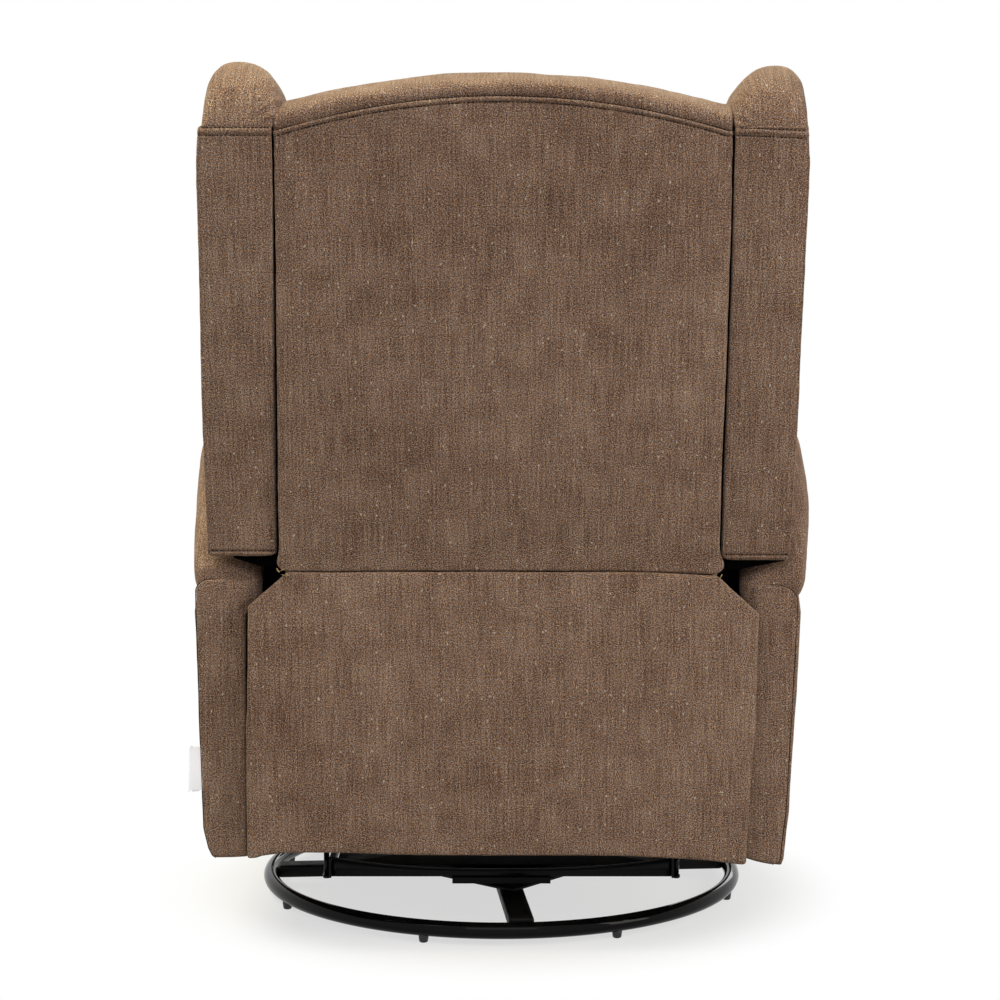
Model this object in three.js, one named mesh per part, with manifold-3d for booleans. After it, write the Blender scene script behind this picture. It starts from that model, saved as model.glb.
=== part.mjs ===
// Swivel glider recliner with a wing back, in millimetres. +Z is up, the sitter
// faces -Y, and the origin is on the floor under the swivel axis.
import * as THREE from 'three';
import { mergeVertices } from 'three/addons/utils/BufferGeometryUtils.js';
import Module from 'manifold-3d';

const wasm = await Module();
wasm.setup();

// Clearances and cutting
const seatGap = 0.3;
const pinPlay = 0.5;
const overrun = 4;
const arcSteps = 5;
const pinSides = 16;
const raceSides = 32;

// Base on the floor
const ringRadius = 310;
const ringTube = 10;
const ringSides = 10;
const ringSteps = 48;
const glideCount = 8;
const glideHeight = 8;
const glideRadius = 9;
const glideFootRadius = 8;
const glideSides = 12;
const baseTurn = THREE.MathUtils.degToRad(4.7);
const armWidth = 31;
const armDrop = 3.5;
const armRise = 3;
const armLap = 4;
const hubPlateSide = 254;
const hubPlateThickness = 4;
const studRadius = 8;

// Swivel bearing
const raceOuter = 78;
const raceInner = 46;
const raceHeight = 5;
const bearingSpace = 1.2;

// Turntable that carries the glider
const sheet = 3;
const turnPlateHalfWidth = 62;
const turnPlateThickness = 4;
const crossReach = 200;
const crossLift = 55;
const crossEndHeight = 27;
const crossMidHeight = 12;
const crossShelf = 46;

// Glider linkage
const trackHalf = 216;
const hangerReach = 110;
const hangerTop = 255;
const hangerLow = 125;
const towerHalfWidth = 15;
const sideRailHeight = 24;
const linkHalfWidth = 11;
const pivotPin = 5;
const laneSpace = 5.5;

// Mechanism plates and footrest linkage
const outerLane = 2.5;
const footPivotY = -235;
const footPivotZ = 325;
const footLink = 210;
const footLineDegrees = 10;
const footFoldDegrees = 76;
const torsionRadius = 8;
const footLinkHalfWidth = 10;

// Seat deck
const deckLow = 360;
const deckHeight = 32;
const railDepth = 30;
const frontRailY = -290;
const rearRailY = 245;
const springWire = 2;
const springEndSpace = 1.4;
const springCount = 3;
const springPitch = 120;
const springWave = 22;
const springWaveCount = 9;
const cushionHeight = 92;
const cushionFront = -405;
const cushionRear = 190;
const cushionSideSpace = 10;

// Footrest board and pad
const footPadSideSpace = 7;
const footPadFront = -445;
const footPadDepth = 69;
const footPadLow = 126;
const footPadTop = 381;
const footBoardHalf = 258;
const footBoardThickness = 15;
const footBoardInset = 10;

// Arms
const armInner = 283;
const armOuter = 352;
const armLow = 115;
const armFront = -424;
const armRear = 328;
const armTop = 620;
const armBreakY = 60;
const armRearTop = 462;
const armSoft = 11;
const padInner = 277;
const padOuter = 378;
const padThickness = 66;
const armPanelThickness = 7.6;
const armPanelDrop = 11;
const armPanelInset = 2;

// Lower back panel
const lowerArmLap = 17;
const lowerTop = 455;
const lowerRear = 356;
const lowerThickness = 8;
const lowerCutX = 42;
const lowerCutZ = 41;
const lowerRimWidth = 14;
const tagWidth = 16;
const tagHeight = 48;
const tagThickness = 1;
const tagLow = 190;
const tagY = 318;

// Backrest: the leaning frame starts at the foot of its rear face
const backFootY = 352;
const backFootGap = 7;
const backLean = THREE.MathUtils.degToRad(9.9);
const hingeY = 333;
const hingeZ = 400;
const hingeBoss = 11.5;
const bracketY = 295;
const bracketKneeRise = 33.5;
const bracketLap = 122.5;
const postWidth = 15.4;
const backSeamEnd = 510;
const backSeamRise = 31;
const backPanelThickness = 14;
const postDepth = 22;
const postFoot = 8;
const postTop = 490;
const backRailHeight = 60;
const rollCrestEnd = 537;
const rollCrestRise = 32;
const rollDepth = 128;
const rollHeight = 56;
const upperCushionInset = 2.5;
const upperCushionLow = 262;
const upperCushionTop = 492;
const upperCushionDepth = 118;
const lumbarSideSpace = 3;
const lumbarLow = 6;
const lumbarTop = 256;
const lumbarDepth = 165;

// Wings
const wingSideSpace = 3.5;
const wingThickness = 85;
const wingSoft = 20;
const wingGap = 9;
const wingCrestZ = 1056;
const wingBackZ = 970;
const wingFrontY = 80;

// Release lever
const leverLane = 277.5;
const leverThickness = 3.5;
const leverPivotY = -150;
const leverPivotZ = 415;
const leverHeight = 128;
const leverHalfWidth = 14;

// Heights and lanes that follow from the sizes above
const ringCentre = glideHeight + ringTube;
const armBottom = ringCentre - armDrop;
const armCrown = ringCentre + ringTube + armRise;
const hubPlateLow = armCrown + seatGap;
const lowerRaceLow = hubPlateLow + hubPlateThickness + seatGap;
const upperRaceLow = lowerRaceLow + raceHeight + bearingSpace;
const turnPlateLow = upperRaceLow + raceHeight + seatGap;
const cushionLow = deckLow + deckHeight + seatGap;
const cushionHalf = armInner - cushionSideSpace;
const deckHalf = armInner - seatGap;
const footPadHalf = armInner - footPadSideSpace;
const armPanelArch = armRearTop - armPanelDrop;
const lowerHalf = armInner + lowerArmLap;
const backFootZ = lowerTop + backFootGap;
const crossHalfWidth = trackHalf - sheet / 2 - pinPlay;
const hangerOuter = trackHalf + sheet / 2;
const glideLane = hangerOuter + laneSpace;
const plateLane = glideLane + sheet + laneSpace;
const plateOuter = plateLane + sheet;
const lowerLinkLane = plateOuter + outerLane;
const upperLinkLane = lowerLinkLane + sheet + outerLane;
const boardLane = upperLinkLane + sheet + outerLane;
const postInner = lowerLinkLane + sheet + seatGap;
const wingInner = postInner + postWidth + seatGap;
const backHalf = wingInner - wingSideSpace;
const upperCushionHalf = backHalf - upperCushionInset;
const lumbarHalf = lowerLinkLane - lumbarSideSpace;
const radians = THREE.MathUtils.degToRad;

// Places of the footrest's joints with the footrest put away, as [y, z]
function along(from, angle, length) {
  return [from[0] - Math.cos(angle) * length, from[1] + Math.sin(angle) * length];
}
const footPivot = [footPivotY, footPivotZ];
const footKnee = along(footPivot, radians(footLineDegrees - footFoldDegrees), footLink);
const footTip = along(footKnee, radians(footLineDegrees + footFoldDegrees), footLink);
const hinge = [hingeY, hingeZ];

// Materials
function paint(color, roughness, metalness) {
  return new THREE.MeshStandardMaterial({ color, roughness, metalness });
}
const blackSteel = () => paint(0x0b0b0c, 0.22, 0.4);
const darkSteel = () => paint(0x1b1b1d, 0.4, 0.7);
const zincSteel = () => paint(0x8d8f91, 0.38, 0.9);
const blackPlastic = () => paint(0x101011, 0.5, 0);
const frameWood = () => paint(0xb08c5c, 0.7, 0);
const chenille = () => paint(0x76624f, 0.95, 0);
const warmChenille = () => paint(0x8d7558, 0.95, 0);
const whiteTape = () => paint(0xeeeeea, 0.8, 0);

// Solids and meshes
function toSolid(geometry) {
  const bare = geometry.clone();
  bare.deleteAttribute('normal');
  bare.deleteAttribute('uv');
  const merged = mergeVertices(bare);
  return new wasm.Manifold(new wasm.Mesh({
    numProp: 3,
    vertProperties: new Float32Array(merged.attributes.position.array),
    triVerts: new Uint32Array(merged.index.array),
  }));
}

function toGeometry(solid) {
  const mesh = solid.getMesh();
  const geometry = new THREE.BufferGeometry();
  geometry.setAttribute('position', new THREE.BufferAttribute(mesh.vertProperties, 3));
  geometry.setIndex(new THREE.BufferAttribute(mesh.triVerts, 1));
  geometry.computeVertexNormals();
  return geometry;
}

function join(...pieces) {
  return toGeometry(pieces.map(toSolid).reduce((all, next) => all.add(next)));
}

function cut(piece, ...tools) {
  return toGeometry(tools.map(toSolid).reduce((left, tool) => left.subtract(tool), toSolid(piece)));
}

// A box from its low corner to its high corner
function block(low, high) {
  const size = high.map((value, axis) => value - low[axis]);
  const centre = high.map((value, axis) => (value + low[axis]) / 2);
  return new THREE.BoxGeometry(...size).translate(...centre);
}

// An outline in the Y-Z plane, drawn through in X from its inner face
function plate(outline, side, inner, thickness) {
  const start = side > 0 ? inner : -inner - thickness;
  const geometry = new THREE.ExtrudeGeometry(outline, {
    depth: thickness, bevelEnabled: false, curveSegments: arcSteps,
  });
  const basis = new THREE.Matrix4().makeBasis(
    new THREE.Vector3(0, 1, 0), new THREE.Vector3(0, 0, 1), new THREE.Vector3(1, 0, 0),
  );
  return geometry.applyMatrix4(basis).translate(start, 0, 0);
}

// A padded outline in the Y-Z plane with rounded edges all round
function softPlate(outline, side, inner, thickness, soft) {
  const start = side > 0 ? inner : -inner - thickness;
  const geometry = new THREE.ExtrudeGeometry(outline, {
    depth: thickness - soft * 2,
    bevelEnabled: true,
    bevelThickness: soft,
    bevelSize: soft,
    bevelOffset: -soft,
    bevelSegments: 3,
    curveSegments: arcSteps,
  });
  const basis = new THREE.Matrix4().makeBasis(
    new THREE.Vector3(0, 1, 0), new THREE.Vector3(0, 0, 1), new THREE.Vector3(1, 0, 0),
  );
  return geometry.applyMatrix4(basis).translate(start + soft, 0, 0);
}

// An outline in the X-Z plane, drawn forward from its rear face
function panel(outline, rear, thickness) {
  const geometry = new THREE.ExtrudeGeometry(outline, {
    depth: thickness, bevelEnabled: false, curveSegments: arcSteps * 2,
  });
  const basis = new THREE.Matrix4().makeBasis(
    new THREE.Vector3(1, 0, 0), new THREE.Vector3(0, 0, 1), new THREE.Vector3(0, -1, 0),
  );
  return geometry.applyMatrix4(basis).translate(0, rear, 0);
}

// The outline of a link bar with round ends
function bar(from, to, halfWidth) {
  const angle = Math.atan2(to[1] - from[1], to[0] - from[0]);
  const quarter = Math.PI / 2;
  const outline = new THREE.Shape();
  outline.absarc(from[0], from[1], halfWidth, angle + quarter, angle - quarter, false);
  outline.absarc(to[0], to[1], halfWidth, angle - quarter, angle + quarter, false);
  outline.closePath();
  return outline;
}

// A pin, hole tool or tube along X
function pinAcross(place, radius, side, from, to) {
  const length = to - from;
  const geometry = new THREE.CylinderGeometry(radius, radius, length, pinSides);
  return geometry.rotateZ(Math.PI / 2).translate(side * (from + length / 2), place[0], place[1]);
}

// A closed body through rings of equal count, with a point at each end
function loft(rings, firstPoint, lastPoint) {
  const count = rings[0].length;
  const points = [firstPoint, ...rings.flat(), lastPoint];
  const faces = [];
  for (let k = 0; k < count; k += 1) {
    const next = (k + 1) % count;
    faces.push(0, 1 + next, 1 + k);
    for (let r = 0; r + 1 < rings.length; r += 1) {
      const here = 1 + r * count;
      const there = here + count;
      faces.push(here + k, here + next, there + next);
      faces.push(here + k, there + next, there + k);
    }
    const end = 1 + (rings.length - 1) * count;
    faces.push(end + k, end + next, points.length - 1);
  }
  const geometry = new THREE.BufferGeometry();
  geometry.setAttribute('position', new THREE.Float32BufferAttribute(points.flat(), 3));
  geometry.setIndex(faces);
  geometry.computeVertexNormals();
  return geometry;
}

function signedPower(value, power) {
  return Math.sign(value) * Math.abs(value) ** power;
}

// A stuffed cushion between two corners: boxy in plan, with a crowned upper face,
// sides drawn in towards the seams, and a lower face pressed flat where it rests
const cushionPressShare = 1.15;
function cushion(low, high, planShare, edgeShare) {
  const half = high.map((value, axis) => (value - low[axis]) / 2);
  const centre = high.map((value, axis) => (value + low[axis]) / 2);
  const around = 32;
  const levels = 11;
  const rings = [];
  for (let level = 1; level < levels; level += 1) {
    const rise = Math.PI * (level / levels - 1 / 2);
    const reach = signedPower(Math.cos(rise), edgeShare);
    const ring = [];
    for (let k = 0; k < around; k += 1) {
      const turn = Math.PI * 2 * k / around;
      ring.push([
        centre[0] + half[0] * reach * signedPower(Math.cos(turn), planShare),
        centre[1] + half[1] * reach * signedPower(Math.sin(turn), planShare),
        Math.max(low[2], centre[2] + half[2] * signedPower(Math.sin(rise), edgeShare)
          * (rise < 0 ? cushionPressShare : 1)),
      ]);
    }
    rings.push(ring);
  }
  return loft(
    rings,
    [centre[0], centre[1], low[2]],
    [centre[0], centre[1], high[2]],
  );
}

function addPart(group, name, geometry, material) {
  const mesh = new THREE.Mesh(geometry, material);
  mesh.name = name;
  group.add(mesh);
  return mesh;
}

const sides = [['left', 1], ['right', -1]];

// Floor ring with its glides, welded cross and hub plate
function makeBase() {
  const base = new THREE.Group();
  base.rotation.z = baseTurn;
  const ring = new THREE.TorusGeometry(ringRadius, ringTube, ringSides, ringSteps);
  addPart(base, 'base_ring', ring.translate(0, 0, ringCentre), blackSteel());

  for (let k = 0; k < glideCount; k += 1) {
    const turn = Math.PI * 2 * (k + 1 / 2) / glideCount;
    const height = glideHeight - seatGap;
    const glide = new THREE.CylinderGeometry(glideRadius, glideFootRadius, height, glideSides);
    glide.rotateX(Math.PI / 2);
    const mesh = addPart(base, `ring_glide_${k + 1}`, glide, blackPlastic());
    mesh.position.set(Math.cos(turn) * ringRadius, Math.sin(turn) * ringRadius, height / 2);
  }

  const reach = ringRadius + armLap;
  const halfArm = armWidth / 2;
  const armX = block([-reach, -halfArm, armBottom], [reach, halfArm, armCrown]);
  const armY = block([-halfArm, -reach, armBottom], [halfArm, reach, armCrown]);
  const ringSpace = new THREE.TorusGeometry(ringRadius, ringTube + seatGap * 2, ringSides, ringSteps);
  const studHole = new THREE.CylinderGeometry(studRadius + seatGap, studRadius + seatGap, hangerTop, pinSides);
  studHole.rotateX(Math.PI / 2);
  addPart(base, 'base_cross', cut(join(armX, armY), ringSpace.translate(0, 0, ringCentre), studHole), blackSteel());

  const halfPlate = hubPlateSide / 2;
  const plateBox = block([-halfPlate, -halfPlate, 0], [halfPlate, halfPlate, hubPlateThickness]);
  plateBox.rotateZ(Math.PI / 4).translate(0, 0, hubPlateLow);
  addPart(base, 'hub_plate', cut(plateBox, studHole), blackSteel());

  const studTop = turnPlateLow + turnPlateThickness + sheet;
  const stud = new THREE.CylinderGeometry(studRadius, studRadius, studTop - armBottom, pinSides);
  stud.rotateX(Math.PI / 2).translate(0, 0, (studTop + armBottom) / 2);
  addPart(base, 'swivel_stud', stud, zincSteel());
  addPart(base, 'swivel_race_lower', makeRace().translate(0, 0, lowerRaceLow), zincSteel());
  return base;
}

// One pressed ring of the swivel bearing, standing on z = 0
function makeRace() {
  const profile = [
    [raceInner, 0], [raceOuter, 0], [raceOuter, raceHeight], [raceInner, raceHeight], [raceInner, 0],
  ].map(([radius, height]) => new THREE.Vector2(radius, height));
  return new THREE.LatheGeometry(profile, raceSides).rotateX(Math.PI / 2);
}

// A glider crossmember: a shelf with a standing flange whose upper edge is hollowed
function makeCrossmember(side) {
  const outline = new THREE.Shape();
  const low = crossLift;
  outline.moveTo(-crossHalfWidth, low);
  outline.lineTo(crossHalfWidth, low);
  outline.lineTo(crossHalfWidth, low + crossEndHeight);
  outline.quadraticCurveTo(0, low + crossMidHeight * 2 - crossEndHeight, -crossHalfWidth, low + crossEndHeight);
  outline.closePath();
  const rear = side > 0 ? crossReach : -crossReach + sheet;
  const flange = panel(outline, rear, sheet);
  const shelfNear = crossReach - crossShelf;
  const shelfFar = crossReach - sheet / 2;
  const shelfLow = side > 0 ? shelfNear : -shelfFar;
  const shelfHigh = side > 0 ? shelfFar : -shelfNear;
  const shelf = block([-crossHalfWidth, shelfLow, low], [crossHalfWidth, shelfHigh, low + sheet]);
  return join(flange, shelf);
}

// A hanger bracket: a low rail, a tower over each pair of links, and two pivot pins
function makeHanger(side) {
  const railLow = crossLift;
  const outline = new THREE.Shape();
  const end = crossReach;
  const railHigh = railLow + sideRailHeight;
  outline.moveTo(-end, railLow);
  outline.lineTo(end, railLow);
  outline.lineTo(end, railHigh);
  outline.lineTo(hangerReach + towerHalfWidth * 2, railHigh);
  outline.lineTo(hangerReach + towerHalfWidth, hangerTop);
  outline.absarc(hangerReach, hangerTop, towerHalfWidth, 0, Math.PI, false);
  outline.lineTo(hangerReach - towerHalfWidth * 2, railHigh);
  outline.lineTo(-hangerReach + towerHalfWidth * 2, railHigh);
  outline.lineTo(-hangerReach + towerHalfWidth, hangerTop);
  outline.absarc(-hangerReach, hangerTop, towerHalfWidth, 0, Math.PI, false);
  outline.lineTo(-hangerReach - towerHalfWidth * 2, railHigh);
  outline.lineTo(-end, railHigh);
  outline.closePath();
  const inner = trackHalf - sheet / 2;
  const wall = plate(outline, side, inner, sheet);
  const pins = [1, -1].map((fore) => pinAcross(
    [fore * hangerReach, hangerTop], pivotPin, side, inner + sheet / 2, glideLane + sheet + pinPlay,
  ));
  return join(wall, ...pins);
}

// Turntable: upper bearing ring, plate, crossmembers and the hanger brackets
function makeTurntable() {
  const turntable = new THREE.Group();
  addPart(turntable, 'swivel_race_upper', makeRace().translate(0, 0, upperRaceLow), zincSteel());
  const plateReach = crossReach - sheet - seatGap;
  const top = turnPlateLow + turnPlateThickness;
  const middle = block(
    [-turnPlateHalfWidth, -plateReach, turnPlateLow], [turnPlateHalfWidth, plateReach, top],
  );
  const ends = [1, -1].map((fore) => {
    const near = fore * (crossReach - crossShelf + overrun);
    const far = fore * plateReach;
    return block(
      [-turnPlateHalfWidth, Math.min(near, far), top - sheet / 2],
      [turnPlateHalfWidth, Math.max(near, far), crossLift - seatGap],
    );
  });
  const hole = new THREE.CylinderGeometry(studRadius + pinPlay, studRadius + pinPlay, hangerTop, pinSides);
  hole.rotateX(Math.PI / 2);
  addPart(turntable, 'turntable_plate', cut(join(middle, ...ends), hole), darkSteel());
  addPart(turntable, 'crossmember_rear', makeCrossmember(1), blackSteel());
  addPart(turntable, 'crossmember_front', makeCrossmember(-1), blackSteel());
  for (const [word, side] of sides) {
    addPart(turntable, `hanger_bracket_${word}`, makeHanger(side), darkSteel());
  }
  return turntable;
}

// The four glider links, each with a hole round its upper and its lower pin
function makeGlideLinks() {
  const links = new THREE.Group();
  for (const [place, fore] of [['front', -1], ['rear', 1]]) {
    for (const [word, side] of sides) {
      const top = [fore * hangerReach, hangerTop];
      const low = [fore * hangerReach, hangerLow];
      const body = plate(bar(top, low, linkHalfWidth), side, glideLane, sheet);
      const holes = [top, low].map((point) => pinAcross(
        point, pivotPin + pinPlay, side, glideLane - overrun, glideLane + sheet + overrun,
      ));
      addPart(links, `glide_link_${place}_${word}`, cut(body, ...holes), zincSteel());
    }
  }
  return links;
}

// A mechanism plate: glider pins on its inner face, the footrest and backrest
// pivots through it, and the seat rails resting on its upper edge
function makeMechanismPlate(side) {
  const boss = pivotPin + sheet * 3;
  const top = deckLow - seatGap;
  const tipY = frontRailY - railDepth;
  const outline = new THREE.Shape();
  outline.moveTo(-hangerReach - boss, hangerLow - boss);
  outline.lineTo(hangerReach + boss, hangerLow - boss);
  outline.lineTo(hangerReach + boss, hangerLow + boss);
  outline.lineTo(hingeY + hingeBoss, hingeZ);
  outline.absarc(hingeY, hingeZ, hingeBoss, 0, Math.PI * 3 / 4, false);
  outline.lineTo(rearRailY + railDepth + overrun, top);
  outline.lineTo(tipY, top);
  outline.lineTo(tipY, top - sideRailHeight);
  outline.lineTo(footPivotY, footPivotZ - torsionRadius * 2);
  outline.lineTo(-hangerReach - boss, hangerLow + boss);
  outline.closePath();
  const wall = plate(outline, side, plateLane, sheet);
  const pins = [1, -1].map((fore) => pinAcross(
    [fore * hangerReach, hangerLow], pivotPin, side, glideLane - pinPlay, plateLane + sheet / 2,
  ));
  const holes = [
    pinAcross(footPivot, torsionRadius + pinPlay, side, plateLane - overrun, plateOuter + overrun),
    pinAcross(hinge, pivotPin + pinPlay, side, plateLane - overrun, plateOuter + overrun),
  ];
  return cut(join(wall, ...pins), ...holes);
}

// A zigzag seat spring that runs from the front rail to the rear rail
function makeSpring(x) {
  const start = frontRailY + springEndSpace;
  const end = rearRailY - railDepth - springEndSpace;
  const level = deckLow + deckHeight / 2;
  const steps = springWaveCount * 2;
  const points = [];
  for (let k = 0; k <= steps; k += 1) {
    const swing = k === 0 || k === steps ? 0 : (k % 2 === 0 ? -1 : 1);
    points.push(new THREE.Vector3(
      x + springWave * swing, start + (end - start) * k / steps, level,
    ));
  }
  const section = new THREE.Shape();
  section.absarc(0, 0, springWire, 0, Math.PI * 2, false);
  return new THREE.ExtrudeGeometry(section, {
    steps: steps * 2, curveSegments: 3, extrudePath: new THREE.CatmullRomCurve3(points),
  });
}

// Height of the arm's upper line at a place along the chair
function armLine(y) {
  if (y <= armBreakY) {
    return armTop;
  }
  const share = (y - armBreakY) / (armRear - armBreakY);
  return armTop - (armTop - armRearTop) * (share * 2 + share ** 2) / 3;
}

// Places along the arm where its pad has a section, closer towards the ends
const padSteps = 14;
function padPlace(station) {
  return armFront + (armRear - armFront) * (1 - Math.cos(Math.PI * station / padSteps)) / 2;
}

// The side outline of an arm, whose upper edge lies under the pad
function armOutline() {
  const outline = new THREE.Shape();
  outline.moveTo(armFront, armLow);
  outline.lineTo(armRear, armLow);
  for (let station = padSteps; station >= 0; station -= 2) {
    const y = padPlace(station);
    outline.lineTo(y, armLine(y) - padThickness - seatGap);
  }
  outline.closePath();
  return outline;
}

// A rolled arm pad that overhangs the arm outside and follows its upper line
function makeArmPad(side) {
  const around = 18;
  const halfWidth = (padOuter - padInner) / 2;
  const centreX = side * (padOuter + padInner) / 2;
  const rings = [];
  for (let station = 1; station < padSteps; station += 1) {
    const y = padPlace(station);
    const swell = Math.sin(Math.PI * station / padSteps) ** (1 / 3);
    const centreZ = armLine(y) - padThickness / 2;
    const ring = [];
    for (let k = 0; k < around; k += 1) {
      const turn = Math.PI * 2 * k / around;
      ring.push([
        centreX + side * halfWidth * swell * signedPower(Math.cos(turn), 2 / 3),
        y,
        centreZ - padThickness / 2 * swell * signedPower(Math.sin(turn), 2 / 3),
      ]);
    }
    rings.push(side < 0 ? ring.reverse() : ring);
  }
  return loft(
    rings,
    [centreX, armFront, armTop - padThickness / 2],
    [centreX, armRear, armLine(armRear) - padThickness / 2],
  );
}

// The rear end panel of an arm, with an arched top
function makeArmPanel(side) {
  const low = armInner + armPanelInset;
  const high = armOuter - armPanelInset;
  const middle = (low + high) / 2;
  const radius = (high - low) / 2;
  const outline = new THREE.Shape();
  outline.moveTo(side * middle - radius, armLow + armPanelInset);
  outline.lineTo(side * middle + radius, armLow + armPanelInset);
  outline.lineTo(side * middle + radius, armPanelArch - radius);
  outline.absarc(side * middle, armPanelArch - radius, radius, 0, Math.PI, false);
  outline.closePath();
  return panel(outline, armRear + seatGap + armPanelThickness, armPanelThickness);
}

// The lower back panel: a board with its upper corners cut off, and a rim at each
// side that stands on the arms' rear panels
function makeLowerPanel() {
  const outline = new THREE.Shape();
  outline.moveTo(-lowerHalf, armLow);
  outline.lineTo(lowerHalf, armLow);
  outline.lineTo(lowerHalf, lowerTop - lowerCutZ);
  outline.lineTo(lowerHalf - lowerCutX, lowerTop);
  outline.lineTo(-lowerHalf + lowerCutX, lowerTop);
  outline.lineTo(-lowerHalf, lowerTop - lowerCutZ);
  outline.closePath();
  const board = panel(outline, lowerRear, lowerThickness);
  const rimNear = armRear + seatGap * 2 + armPanelThickness;
  const rims = sides.map(([, side]) => {
    const edges = [side * lowerHalf, side * (lowerHalf - lowerRimWidth)];
    return block(
      [Math.min(...edges), rimNear, armLow],
      [Math.max(...edges), lowerRear - lowerThickness / 2, lowerTop - lowerCutZ - lowerRimWidth],
    );
  });
  return join(board, ...rims);
}

// Seat: mechanism plates, rails, springs, cushion, arms and the lower back panel
function makeSeat() {
  const seat = new THREE.Group();
  for (const [word, side] of sides) {
    addPart(seat, `mechanism_plate_${word}`, makeMechanismPlate(side), darkSteel());
  }
  const deckTop = deckLow + deckHeight;
  const rails = [['front', frontRailY], ['rear', rearRailY]];
  for (const [word, rearFace] of rails) {
    const rail = block([-deckHalf, rearFace - railDepth, deckLow], [deckHalf, rearFace, deckTop]);
    addPart(seat, `seat_rail_${word}`, rail, frameWood());
  }
  for (let k = 0; k < springCount; k += 1) {
    const x = springPitch * (k - (springCount - 1) / 2);
    addPart(seat, `seat_spring_${k + 1}`, makeSpring(x), zincSteel());
  }
  const seatCushion = cushion(
    [-cushionHalf, cushionFront, cushionLow],
    [cushionHalf, cushionRear, cushionLow + cushionHeight],
    2 / 7, 1 / 2,
  );
  addPart(seat, 'seat_cushion', seatCushion, warmChenille());

  for (const [word, side] of sides) {
    const arm = softPlate(armOutline(), side, armInner, armOuter - armInner, armSoft);
    addPart(seat, `arm_${word}`, arm, chenille());
    addPart(seat, `arm_pad_${word}`, makeArmPad(side), warmChenille());
    addPart(seat, `arm_rear_panel_${word}`, makeArmPanel(side), chenille());
  }
  addPart(seat, 'lower_back_panel', makeLowerPanel(), chenille());

  const tagNear = armOuter + seatGap;
  const tag = block([tagNear, tagY, tagLow], [tagNear + tagThickness, tagY + tagWidth, tagLow + tagHeight]);
  addPart(seat, 'blank_tag', tag, whiteTape());
  return seat;
}

// The release lever, beside the seat at the sitter's right
function makeLever() {
  const foot = [leverPivotY, leverPivotZ];
  const head = [leverPivotY, leverPivotZ + leverHeight - leverHalfWidth * 2];
  const blade = plate(bar(foot, head, leverHalfWidth), -1, leverLane, leverThickness);
  const pin = pinAcross(foot, pivotPin, -1, leverLane + leverThickness / 2, armInner - seatGap);
  return join(blade, pin);
}

// Lower footrest links on a torsion tube that turns in the mechanism plates
function makeLowerLinks() {
  const links = new THREE.Group();
  for (const [word, side] of sides) {
    const arm = plate(bar(footPivot, footKnee, footLinkHalfWidth), side, lowerLinkLane, sheet);
    const pin = pinAcross(
      footKnee, pivotPin, side, lowerLinkLane + sheet / 2, upperLinkLane + sheet + pinPlay,
    );
    addPart(links, `footrest_lower_link_${word}`, join(arm, pin), darkSteel());
  }
  const reach = lowerLinkLane - seatGap;
  addPart(links, 'footrest_torsion_tube', pinAcross(footPivot, torsionRadius, 1, -reach, reach), darkSteel());
  return links;
}

function makeUpperLinks() {
  const links = new THREE.Group();
  for (const [word, side] of sides) {
    const arm = plate(bar(footKnee, footTip, footLinkHalfWidth), side, upperLinkLane, sheet);
    const holes = [footKnee, footTip].map((point) => pinAcross(
      point, pivotPin + pinPlay, side, upperLinkLane - overrun, upperLinkLane + sheet + overrun,
    ));
    addPart(links, `footrest_upper_link_${word}`, cut(arm, ...holes), darkSteel());
  }
  return links;
}

// The footrest: a board with a hinge tab on each side, and the pad in front of it
function makeFootrest() {
  const footrest = new THREE.Group();
  const boardFront = footPadFront + footPadDepth + seatGap;
  const boardRear = boardFront + footBoardThickness;
  const board = block(
    [-footBoardHalf, boardFront, footPadLow + footBoardInset],
    [footBoardHalf, boardRear, footPadTop - footBoardInset],
  );
  const tabs = sides.flatMap(([, side]) => {
    const root = [boardRear, footTip[1]];
    const tab = plate(bar(root, footTip, footLinkHalfWidth), side, boardLane, sheet);
    const pin = pinAcross(
      footTip, pivotPin, side, upperLinkLane - pinPlay, boardLane + sheet / 2,
    );
    return [tab, pin];
  });
  addPart(footrest, 'footrest_board', join(board, ...tabs), frameWood());
  const pad = cushion(
    [-footPadHalf, footPadLow, 0], [footPadHalf, footPadTop, footPadDepth], 2 / 7, 1 / 2,
  );
  const mesh = addPart(footrest, 'footrest_pad', pad, warmChenille());
  mesh.rotation.x = Math.PI / 2;
  mesh.position.y = footPadFront + footPadDepth;
  return footrest;
}

// The side outline of a wing. Its lower edge runs above the arm's upper line.
function wingOutline() {
  const lean = Math.tan(backLean);
  const rearFoot = [backFootY - wingGap / 2, armRearTop + wingGap * 2];
  const rearTop = [backFootY + (wingBackZ - backFootZ) * lean, wingBackZ];
  const crown = [backFootY - wingGap, wingCrestZ];
  const brow = [rearFoot[0] - wingThickness / 2, wingCrestZ - wingGap];
  const lowFront = [wingFrontY, armTop + wingGap];
  const outline = new THREE.Shape();
  outline.moveTo(...rearFoot);
  outline.lineTo(...rearTop);
  outline.quadraticCurveTo(rearTop[0] + wingGap, wingCrestZ - wingGap, crown[0], crown[1]);
  outline.lineTo(...brow);
  outline.bezierCurveTo(
    brow[0] - wingThickness, wingCrestZ - wingThickness,
    wingFrontY + wingThickness / 2, armTop + wingThickness * 3,
    lowFront[0], armTop + wingThickness,
  );
  outline.lineTo(...lowFront);
  outline.lineTo(armBreakY + wingGap * 5, armTop - wingGap);
  outline.closePath();
  return outline;
}

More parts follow.
